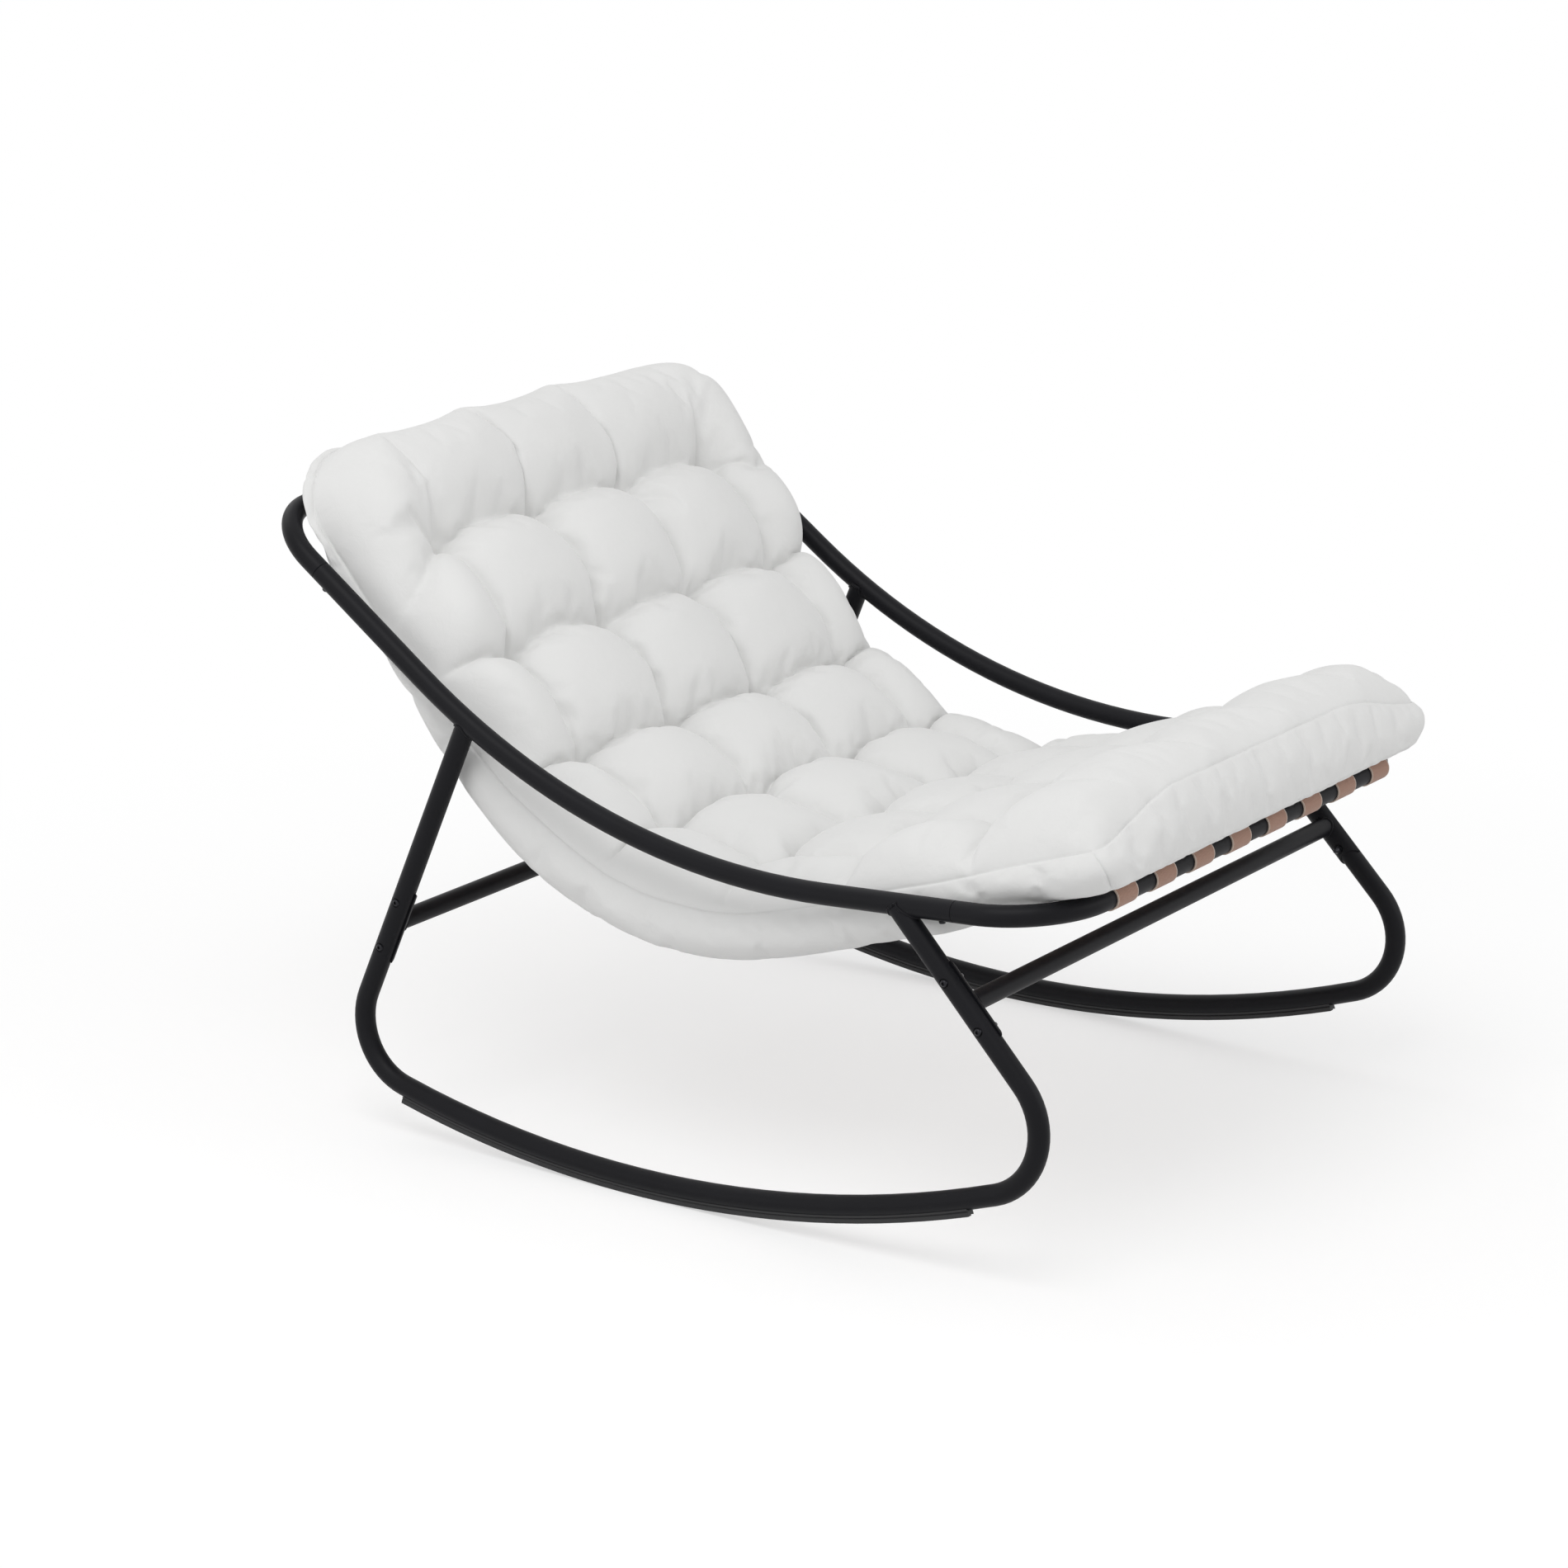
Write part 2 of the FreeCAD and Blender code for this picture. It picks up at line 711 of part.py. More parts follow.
def return_angle():
    """Angle at which a strap's return comes to lie on its main run, found by halving."""
    low, high = 0.0, 60.0
    for _ in range(50):
        angle = (low + high) / 2
        level = strap_return * sine(angle) - loop_radius * cosine(angle)
        level += strap_return_bend * (1 - cosine(angle))
        if level < loop_radius - strap_thickness:
            low = angle
        else:
            high = angle
    return low


closing_angle = return_angle()


def strap_loop(start, heading, side):
    """Side view of one end of a strap: round the tube, back under it, and the sewn lap."""
    path = SidePath(start.y, start.z, heading)
    path.turn(loop_radius, side * (180 + closing_angle))
    path.run(strap_return)
    path.turn(strap_return_bend, -side * closing_angle)
    path.run(strap_tail)
    return path.band(strap_thickness)


def strap_side_view():
    """Face of a whole strap, seen from the side, with both ends sewn to the main run."""
    main = sling_path()
    head_loop = strap_loop(head_leave, head_run_slope, -1)
    foot_loop = strap_loop(main.end(), main.heading, 1)
    return fused(main.band(strap_thickness), [head_loop, foot_loop]).Faces[0]


def strap(index, side_view, tube_envelopes):
    """Webbing band with a sewn loop round the head tube and one round the foot tube."""
    middle = strap_shift + (index - (strap_count - 1) / 2) * strap_pitch
    band = side_view.extrude(across * strap_width)
    band.translate(across * (middle - strap_width / 2))
    return one_solid(band.cut(tube_envelopes))


# Cushion: its sections stand square to the sling, with heights measured up from the straps

seat_lift = strap_thickness / 2 + cushion_gap


def seat_frame(station):
    """Point on the cushion's underside line, and the way up from it, at a distance from the head."""
    path = sling_path(cushion_head_reach, cushion_length, seat_lift)
    head_part = path.steps[0][4]
    arc_angle = path.steps[1][5]
    arc_part = path.steps[1][4] * math.radians(abs(arc_angle))
    trial = SidePath(path.steps[0][1], path.steps[0][2], path.steps[0][3])
    trial.run(min(station, head_part))
    if station > head_part:
        share = min((station - head_part) / arc_part, 1.0)
        trial.turn(path.steps[1][4], arc_angle * share)
    if station > head_part + arc_part:
        trial.run(station - head_part - arc_part)
    up = Vector(0, sine(trial.heading), -cosine(trial.heading))
    return trial.end(), up


def bulge(start, end, share):
    """Point beside the middle of a chord, on its left, for an arc under half a circle."""
    return ((start[0] + end[0]) / 2 - (end[1] - start[1]) * share,
            (start[1] + end[1]) / 2 + (end[0] - start[0]) * share)


def cushion_section(station, crown, tuft, width, drop, lift=0.0):
    """Closed outline of ten edges across the cushion at one station."""
    half = width / 2
    column = tuft_column_pitch / 2
    low = (half - edge_width, lift - drop)
    side = (half, lift + (crown - lift) * side_seam_share)
    tufts = [3 * column, column, -column, -3 * column]
    outline = [((-flat_half_width, lift), None, (flat_half_width, lift)),
               ((flat_half_width, lift), None, low),
               (low, bulge(low, side, -side_bulge), side)]
    outer_crown = ((half + tufts[0]) / 2 + side_pinch, crown * outer_crown_share)
    outline.append((side, outer_crown, (tufts[0], tuft)))
    for here, there in zip(tufts, tufts[1:]):
        outline.append(((here, tuft), ((here + there) / 2, crown), (there, tuft)))
    other_side = (-side[0], side[1])
    other_low = (-low[0], low[1])
    other_crown = (-outer_crown[0], outer_crown[1])
    outline.append(((tufts[-1], tuft), other_crown, other_side))
    outline.append((other_side, bulge(other_side, other_low, -side_bulge), other_low))
    outline.append((other_low, None, (-flat_half_width, lift)))
    origin, up = seat_frame(station)

    def in_space(point):
        return origin + across * point[0] + up * point[1]

    edges = []
    for start, via, end in outline:
        if via is None:
            edges.append(Part.makeLine(in_space(start), in_space(end)))
        else:
            edges.append(Part.Arc(in_space(start), in_space(via), in_space(end)).toShape())
    return Part.Wire(edges)


def puff_row(index):
    """Sections of one row of puffs, from one seam to the next, with a nose at the two ends."""
    last = len(puff_heights) - 1
    start = 0.0 if index == 0 else tuft_row_first + sum(tuft_row_pitches[:index - 1])
    end = cushion_length if index == last else tuft_row_first + sum(tuft_row_pitches[:index])
    height = puff_heights[index]
    sections = []
    stations = ((0.0, 0.0), (flank_share, flank_swell), (0.5, 1.0),
                (1 - flank_share, flank_swell), (1.0, 0.0))
    for share, swell in stations:
        beside = min(max(index + (1 if share > 0.5 else -1), 0), last)
        seam = (puff_heights[beside] + height) / 2
        edge = (edge_drops[beside] + edge_drops[index]) / 2
        flat = 1 - swell
        crown = height * swell + seam * seam_depth_share * flat
        tuft = height * column_depth_share * swell + seam * tuft_depth_share * flat
        width = cushion_width - 2 * side_pinch * flat
        drop = edge_drops[index] * swell + edge * flat
        lift = 0.0
        if beside == index:
            nose = head_nose_height if index == 0 else foot_nose_height
            crown = height * swell + nose * flat
            tuft = height * column_depth_share * swell + nose * nose_tuft_share * flat
            width = cushion_width - 2 * nose_pinch * flat
            drop = edge_drops[index] * swell
            lift = nose_lift * flat
        sections.append(cushion_section(start + (end - start) * share, crown, tuft, width, drop, lift))
    return sections


def cushion():
    """Rows of puffs lofted one by one and sewn into a single closed skin."""
    faces = []
    for index in range(len(puff_heights)):
        sections = puff_row(index)
        faces += Part.makeLoft(sections, False, True).Faces
        if index == 0:
            faces.append(Part.Face(sections[0]))
        if index == len(puff_heights) - 1:
            faces.append(Part.Face(sections[-1]))
    skin = Part.makeCompound(faces)
    skin.sewShape()
    solid = Part.Solid(skin.Shells[0])
    if solid.Volume < 0:
        solid.reverse()
    return solid


def build():
    """Every node of the chair, each as a list of solids."""
    sides = (("left", -1), ("right", 1))
    nodes = {
        "head_tube": [end_tube(head_joint, head_way, head_centre, head_bend_radius, "head")],
        "foot_tube": [end_tube(foot_joint, foot_way, foot_centre, foot_bend_radius, "foot")],
        "cross_bar_rear": [cross_bar(rear_half, rear_bar_height)],
        "cross_bar_front": [cross_bar(front_half, front_bar_height)],
        "saddle_brackets_rear": [],
        "saddle_brackets_front": [],
        "bracket_bolts": [],
        "bracket_nuts": [],
        "rail_screws": [],
        "strip_screws": [],
    }
    for name, side in sides:
        plane = RockerPlane(side)
        nodes["side_rail_" + name] = [side_rail(side)]
        nodes["rocker_tube_" + name] = [rocker_tube(side)]
        nodes["floor_strip_" + name] = [floor_strip(side)]
        nodes["strip_screws"] += [strip_screw(plane, angle) for angle in strip_screw_angles()]
        nodes["rail_screws"] += [rail_screw(side, end) for end in ("head", "foot")]
        for place, half, height in (("rear", rear_half, rear_bar_height),
                                    ("front", front_half, front_bar_height)):
            nodes["saddle_brackets_" + place].append(saddle_bracket(side, half, height))
            for point in bolt_points(plane, half, height):
                nodes["bracket_bolts"].append(bracket_bolt(plane, point))
                nodes["bracket_nuts"].append(dome_nut(plane, point))
    side_view = strap_side_view()
    envelopes = [end_envelope(head_centre, head_way, head_bend_radius),
                 end_envelope(foot_centre, foot_way, foot_bend_radius)]
    for index in range(strap_count):
        nodes["strap_" + str(index + 1)] = [strap(index, side_view, envelopes)]
    nodes["cushion"] = [cushion()]
    return nodes


def main():
    nodes = build()
    low = min(solid.optimalBoundingBox().YMin for solids in nodes.values() for solid in solids)
    high = max(solid.optimalBoundingBox().YMax for solids in nodes.values() for solid in solids)
    shift = Vector(0, -(low + high) / 2, 0)
    os.makedirs("parts", exist_ok=True)
    for name, solids in nodes.items():
        for solid in solids:
            solid.translate(shift)
        shape = solids[0] if len(solids) == 1 else Part.makeCompound(solids)
        shape.exportStep("parts/" + name + ".step")
        print(name, len(solids), [round(solid.Volume) for solid in solids][:3],
              all(solid.isValid() for solid in solids))
    print("shift along y:", round(shift.y, 3))


main()
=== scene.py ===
"""Rocking chaise lounge: finishes of the steel frame, the webbing straps and the tufted cushion."""
import json
import logging
import math
import random
from dataclasses import dataclass, field
from enum import Enum

import bmesh
import bpy
from bmesh.types import BMEdge, BMVert, BMesh
from bpy.types import Material, Node, NodeSocket, NodeTree, Object
from mathutils import Matrix, Vector, noise
from mathutils.kdtree import KDTree


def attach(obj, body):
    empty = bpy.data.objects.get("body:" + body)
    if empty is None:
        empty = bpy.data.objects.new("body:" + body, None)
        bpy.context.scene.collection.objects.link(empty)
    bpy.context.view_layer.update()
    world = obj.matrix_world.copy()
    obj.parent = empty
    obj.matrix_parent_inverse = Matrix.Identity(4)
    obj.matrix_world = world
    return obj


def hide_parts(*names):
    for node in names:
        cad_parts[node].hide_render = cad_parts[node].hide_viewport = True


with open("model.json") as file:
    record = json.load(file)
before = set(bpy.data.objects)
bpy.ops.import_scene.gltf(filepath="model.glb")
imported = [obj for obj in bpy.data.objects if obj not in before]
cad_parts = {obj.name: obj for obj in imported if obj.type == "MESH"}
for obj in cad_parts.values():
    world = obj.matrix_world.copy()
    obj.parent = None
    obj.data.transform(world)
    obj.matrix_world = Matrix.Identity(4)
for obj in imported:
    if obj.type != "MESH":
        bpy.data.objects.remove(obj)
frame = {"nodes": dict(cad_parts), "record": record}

logging.basicConfig(level=logging.INFO, format="%(message)s")
log = logging.getLogger("chaise")
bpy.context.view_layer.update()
MM = 0.001
# Bands of a wave texture over one unit of length, at a scale of 1
WAVE_BANDS = 3.18
# Share of the cushion pattern's half size from which a point counts as on its rim
RIM = 0.999


class Slot(Enum):
    """The chair's finishes, by the names of their slots in the record."""

    COAT = "black_powder_coat"
    ZINC = "blackened_steel"
    STRIP = "strip_plastic"
    WEBBING = "tan_webbing"
    CANVAS = "white_canvas"


# Small helpers for colours, nodes and meshes

def linear(code: str) -> tuple[float, float, float, float]:
    """Turn an sRGB hex colour into linear values.

    Args:
        code: the colour as "#rrggbb".

    Returns:
        Linear red, green and blue, and an alpha of 1.
    """
    parts = [int(code[i:i + 2], 16) / 255 for i in (1, 3, 5)]
    values = [p / 12.92 if p <= 0.04045 else ((p + 0.055) / 1.055) ** 2.4 for p in parts]
    return (*values, 1.0)


def fill(node: Node, inputs: dict) -> None:
    """Fill a node's inputs.

    Args:
        node: the node.
        inputs: input name or number, to the output socket or the value that goes in.
    """
    for name, value in inputs.items():
        if isinstance(value, NodeSocket):
            node.id_data.links.new(value, node.inputs[name])
        else:
            node.inputs[name].default_value = value


def add(tree: NodeTree, kind: str, inputs: dict | None = None, **settings) -> Node:
    """Add one node to a tree.

    Args:
        tree: the node tree.
        kind: the node's type name without the ShaderNode in front.
        inputs: input name or number, to the output socket or the value that goes in.
        settings: attributes of the node.

    Returns:
        The new node.
    """
    node = tree.nodes.new("ShaderNode" + kind)
    for name, value in settings.items():
        setattr(node, name, value)
    fill(node, inputs or {})
    return node


def speckle(place: NodeSocket, size: float, **inputs: float) -> NodeSocket:
    """Noise with swings of about a size in metres, in the tree of the place."""
    return add(place.id_data, "TexNoise", {"Vector": place, "Scale": 1 / size, **inputs}).outputs["Fac"]


def bands(place: NodeSocket, pitch: float, way: str, **inputs: float) -> NodeSocket:
    """Even bands at a pitch in metres, across the way that is named."""
    wave = {"Vector": place, "Scale": 1 / (pitch * WAVE_BANDS), **inputs}
    return add(place.id_data, "TexWave", wave, bands_direction=way).outputs["Fac"]


def tinted(share: NodeSocket, low: object, high: object) -> NodeSocket:
    """Colour that goes from low to high, each a colour or a socket, as the share goes from 0 to 1."""
    ends = {"Factor": share, "A": low, "B": high}
    return add(share.id_data, "Mix", ends, data_type="RGBA").outputs["Result"]


def spread(value: NodeSocket, source: tuple, limits: tuple) -> NodeSocket:
    """Value stretched from the range that it has to new limits."""
    ends = dict(zip(("From Min", "From Max", "To Min", "To Max"), (*source, *limits)))
    return add(value.id_data, "MapRange", {"Value": value, **ends}).outputs["Result"]


def relief(height: NodeSocket, strength: float, depth: float, **inputs: NodeSocket) -> NodeSocket:
    """Bump of a depth in metres from a height between 0 and 1."""
    bump = {"Height": height, "Strength": strength, "Distance": depth, **inputs}
    return add(height.id_data, "Bump", bump).outputs["Normal"]


def combined(operation: str, *values: NodeSocket) -> NodeSocket:
    """Result of one mathematical operation on sockets."""
    return add(values[0].id_data, "Math", dict(enumerate(values)), operation=operation).outputs["Value"]


def smooth_step(low: float, high: float, value: float) -> float:
    """Rise smoothly from 0 at low to 1 at high."""
    share = min(max((value - low) / (high - low), 0.0), 1.0)
    return share * share * (3 - 2 * share)


def mesh_object(name: str, shape: BMesh) -> Object:
    """Turn a bmesh into an object at the origin, with smooth faces, and free the bmesh.

    Args:
        name: the object's name.
        shape: the bmesh, with its place in its vertices.

    Returns:
        The new object.
    """
    mesh = bpy.data.meshes.new(name)
    for face in shape.faces:
        face.smooth = True
    shape.to_mesh(mesh)
    shape.free()
    made = bpy.data.objects.new(name, mesh)
    bpy.context.scene.collection.objects.link(made)
    return made


# Finishes

class Finish:
    """A material whose looks come from the sizes and colours of its own kind."""

    def material(self) -> Material:
        """Build the material and fill its shader with its looks."""
        made = bpy.data.materials.new(self.name)
        made.use_nodes = True
        place = add(made.node_tree, "TexCoord").outputs["Object"]
        fill(made.node_tree.nodes["Principled BSDF"], self.looks(place))
        return made


@dataclass(frozen=True)
class PowderCoat(Finish):
    """Thermosetting powder coat baked on steel tube: near black, satin, with a fine orange peel."""

    name: str = "black powder coat on steel tube"
    colour: str = "#0f0f12"
    dust_colour: str = "#16161a"
    roughness: tuple = (0.39, 0.51)
    specular: float = 0.13
    peel: float = 2.2 * MM
    peel_depth: float = 0.2 * MM
    peel_strength: float = 0.12
    mottle: float = 60 * MM

    def looks(self, place: NodeSocket) -> dict:
        """Inputs of the shader: peel as bump, with a faint uneven gloss."""
        peel = speckle(place, self.peel, Detail=2.0)
        mottle = speckle(place, self.mottle, Detail=3.0)
        return {
            "Base Color": tinted(mottle, linear(self.colour), linear(self.dust_colour)),
            "Roughness": spread(mottle, (0, 1), self.roughness),
            "Normal": relief(peel, self.peel_strength, self.peel_depth),
            "Specular IOR Level": self.specular,
        }


@dataclass(frozen=True)
class BlackZinc(Finish):
    """Zinc-plated steel turned black: a satin metal that keeps a little of its shine on the edges."""

    name: str = "black zinc plated steel"
    colour: str = "#26262a"
    roughness: tuple = (0.28, 0.44)
    metallic: float = 0.75
    grain: float = 1.2 * MM

    def looks(self, place: NodeSocket) -> dict:
        """Inputs of the shader: dark metal with a rolled grain."""
        grain = speckle(place, self.grain, Detail=3.0)
        return {"Base Color": linear(self.colour), "Metallic": self.metallic,
                "Roughness": spread(grain, (0, 1), self.roughness)}


@dataclass(frozen=True)
class MouldedStrip(Finish):
    """Injection-moulded polypropylene with a spark-eroded grain, scuffed paler on its sole."""

    name: str = "moulded polypropylene strip"
    colour: str = "#161618"
    scuff_colour: str = "#3c3b3a"
    roughness: float = 0.55
    grain: float = 0.8 * MM
    grain_depth: float = 0.15 * MM
    grain_strength: float = 0.2
    scuff_height: float = 2 * MM
    scuffs_per_metre: float = 900.0
    scuff_stretch: float = 0.12

    def looks(self, place: NodeSocket) -> dict:
        """Inputs of the shader: scuffs fade out just above the floor line of the sole."""
        height = add(place.id_data, "SeparateXYZ", {"Vector": place}).outputs["Z"]
        low = spread(height, (0, self.scuff_height), (1, 0))
        stretch = {"Vector": place, "Scale": (1.0, self.scuff_stretch, 1.0)}
        drawn = add(place.id_data, "Mapping", stretch)
        marks = speckle(drawn.outputs["Vector"], 1 / self.scuffs_per_metre, Detail=4.0)
        amount = combined("MULTIPLY", low, marks)
        grain = speckle(place, self.grain)
        return {
            "Base Color": tinted(amount, linear(self.colour), linear(self.scuff_colour)),
            "Normal": relief(grain, self.grain_strength, self.grain_depth),
            "Roughness": self.roughness,
        }


@dataclass(frozen=True)
class Webbing(Finish):
    """Woven elastic webbing: tan warp ribs run along it, and a pale bound selvedge down each side."""

    width: float
    name: str = "tan elastic webbing"
    colour: str = "#ab8674"
    rib_colour: str = "#93705f"
    selvedge_colour: str = "#c9b6a8"
    selvedge: float = 1.6 * MM
    selvedge_blur: float = 0.3 * MM
    rib: float = 2.4 * MM
    pick: float = 1.6 * MM
    depth: float = 0.35 * MM
    strength: float = 0.5
    roughness: float = 0.85
    sheen: float = 0.2

    def looks(self, place: NodeSocket) -> dict:
        """Inputs of the shader: ribs across u, picks along v, both from the strap's own map in metres."""
        cloth = add(place.id_data, "UVMap", uv_map="cloth").outputs["UV"]
        across = add(place.id_data, "SeparateXYZ", {"Vector": cloth}).outputs["X"]
        ribs = bands(cloth, self.rib, "X", Distortion=0.3, Detail=1.0)
        picks = bands(cloth, self.pick, "Y", Distortion=0.8, Detail=1.0)
        inside = self.width / 2 - self.selvedge
        edge = spread(combined("ABSOLUTE", across), (inside - self.selvedge_blur, inside), (0, 1))
        weave = tinted(ribs, linear(self.rib_colour), linear(self.colour))
        return {
            "Base Color": tinted(edge, weave, linear(self.selvedge_colour)),
            "Normal": relief(combined("ADD", ribs, picks), self.strength, self.depth),
            "Roughness": self.roughness,
            "Sheen Weight": self.sheen,
        }


@dataclass(frozen=True)
class Thread(Finish):
    """Bonded polyester thread, twisted from three strands, a shade paler than the webbing."""

    name: str = "bonded polyester thread"
    colour: str = "#c2a594"
    strand_colour: str = "#a08272"
    twist: float = 0.8 * MM
    depth: float = 0.15 * MM
    strength: float = 0.4
    roughness: float = 0.6

    def looks(self, place: NodeSocket) -> dict:
        """Inputs of the shader: the twist shows as slanted bands, in colour and in relief."""
        twist = bands(place, self.twist, "DIAGONAL")
        return {
            "Base Color": tinted(twist, linear(self.strand_colour), linear(self.colour)),
            "Normal": relief(twist, self.strength, self.depth),
            "Roughness": self.roughness,
        }


@dataclass(frozen=True)
class Canvas(Finish):
    """Polyester canvas in plain weave, off-white and matt, with soft creases and a faint sheen."""

    name: str = "off-white polyester canvas"
    colour: str = "#e5e5e4"
    shade_colour: str = "#dfdfde"
    thread: float = 1.1 * MM
    thread_depth: float = 0.2 * MM
    thread_strength: float = 0.12
    crumple: float = 26 * MM
    crumple_depth: float = 3 * MM
    crumple_strength: float = 0.35
    cloud: float = 160 * MM
    roughness: float = 0.9
    sheen: float = 0.15

    def looks(self, place: NodeSocket) -> dict:
        """Inputs of the shader: the thread is drawn twice as coarse as it is, so that it shows."""
        cloth = add(place.id_data, "UVMap", uv_map="cloth").outputs["UV"]
        warp, weft = (bands(cloth, self.thread, way, Distortion=0.6, Detail=1.0) for way in "XY")
        crumple = speckle(place, self.crumple, Detail=3.0, Roughness=0.55, Distortion=0.6)
        cloud = speckle(place, self.cloud, Detail=2.0)
        soft = relief(crumple, self.crumple_strength, self.crumple_depth)
        weave = combined("ADD", warp, weft)
        return {
            "Base Color": tinted(cloud, linear(self.colour), linear(self.shade_colour)),
            "Normal": relief(weave, self.thread_strength, self.thread_depth, Normal=soft),
            "Roughness": self.roughness,
            "Sheen Weight": self.sheen,
        }


# Studio

@dataclass
class PhotoCamera:
    """Camera at the photograph's angle: a long lens from the foot end's left, a little above."""

    azimuth: float = -55.34292
    elevation: float = 16.15727
    lens: float = 103.404
    sensor: float = 36.0
    place: tuple[float, float, float] = (-4.87259, -3.25449, 2.14083)

    def build(self) -> None:
        """Place the camera and make it the scene's own."""
        turn = math.radians(self.azimuth)
        tilt = math.radians(self.elevation)
        back = Vector((math.sin(turn) * math.cos(tilt), -math.cos(turn) * math.cos(tilt), math.sin(tilt)))
        right = Vector((math.cos(turn), math.sin(turn), 0))
        up = back.cross(right)
        data = bpy.data.cameras.new("camera")
        data.lens = self.lens
        data.sensor_width = self.sensor
        data.sensor_fit = "HORIZONTAL"
        made = bpy.data.objects.new("camera", data)
        made.matrix_world = Matrix.Translation(self.place) @ Matrix((right, up, back)).transposed().to_4x4()
        bpy.context.scene.collection.objects.link(made)
        bpy.context.scene.camera = made


@dataclass
class Studio:
    """Pale floor and plain soft light, with a white background for the camera."""

    floor_size: float = 40.0
    floor_gap: float = 0.2 * MM
    floor_grey: float = 0.8
    shadow_grey: float = 0.5
    shadow_glow: float = 0.55
    shadow_reach: float = 0.9
    white_from: float = 2.2
    world_strength: float = 0.58
    aim: tuple[float, float, float] = (0, 0, 0.4)
    lamps: tuple = (
        ("key", (-2.6, -0.6, 4.4), 3.0, 80.0),
        ("fill", (1.6, -4.2, 2.4), 2.6, 34.0),
        ("side", (-3.4, 0.8, 1.1), 2.4, 11.0),
        ("back", (0.8, 3.8, 3.4), 2.4, 20.0),
    )

    def build(self) -> None:
        """Make the floor, the world and the lamps."""
        scene = bpy.context.scene
        scene.view_settings.view_transform = "Standard"
        shape = bmesh.new()
        bmesh.ops.create_grid(shape, x_segments=2, y_segments=2, size=self.floor_size / 2)
        floor = mesh_object("studio_floor", shape)
        floor.data.transform(Matrix.Translation((0, 0, -self.floor_gap)))
        floor.data.materials.append(self.floor_material())
        world = bpy.data.worlds.new("studio")
        scene.world = world
        world.use_nodes = True
        tree = world.node_tree
        tree.nodes.clear()
        light = add(tree, "Background", {"Color": (1, 1, 1, 1), "Strength": self.world_strength})
        white = add(tree, "Background", {"Color": (1, 1, 1, 1)})
        mixed = add(tree, "MixShader", {0: self.seen(tree), 1: light.outputs[0], 2: white.outputs[0]})
        add(tree, "OutputWorld", {"Surface": mixed.outputs[0]})
        for name, place, size, power in self.lamps:
            data = bpy.data.lights.new(name, "AREA")
            data.shape = "SQUARE"
            data.size = size
            data.energy = power
            lamp = bpy.data.objects.new(name, data)
            lamp.location = place
            way = Vector(self.aim) - Vector(place)
            lamp.rotation_euler = way.to_track_quat("-Z", "Y").to_euler()
            scene.collection.objects.link(lamp)

    @staticmethod
    def seen(tree: NodeTree) -> NodeSocket:
        """Socket that is 1 for what the camera sees, directly, mirrored or through glass."""
        rays = add(tree, "LightPath").outputs
        both = combined("MAXIMUM", rays["Is Camera Ray"], rays["Is Glossy Ray"])
        return combined("MAXIMUM", both, rays["Is Transmission Ray"])

    def floor_material(self) -> Material:
        """Build the floor's material: white round the chair's soft shadow, and plain white far off."""
        made = bpy.data.materials.new("pale studio floor")
        made.use_nodes = True
        tree = made.node_tree
        tree.nodes.clear()
        matt = add(tree, "BsdfDiffuse", {"Color": (self.floor_grey,) * 3 + (1,)})
        near = add(tree, "BsdfDiffuse", {"Color": (self.shadow_grey,) * 3 + (1,)})
        glow = add(tree, "Emission", {"Color": (1, 1, 1, 1), "Strength": self.shadow_glow})
        lit = add(tree, "AddShader", {0: near.outputs[0], 1: glow.outputs[0]})
        white = add(tree, "Emission", {"Color": (1, 1, 1, 1)})
        place = add(tree, "TexCoord").outputs["Object"]
        distance = add(tree, "VectorMath", {0: place}, operation="LENGTH")
        fade = add(tree, "MapRange", {"Value": distance.outputs["Value"], "From Min": self.shadow_reach,
                                      "From Max": self.white_from}, interpolation_type="SMOOTHSTEP")
        shown = add(tree, "MixShader", {0: fade.outputs["Result"], 1: lit.outputs[0], 2: white.outputs[0]})
        mixed = add(tree, "MixShader", {0: self.seen(tree), 1: matt.outputs[0], 2: shown.outputs[0]})
        add(tree, "OutputMaterial", {"Surface": mixed.outputs[0]})
        return made


# The sling's side view, which the straps and the cushion share

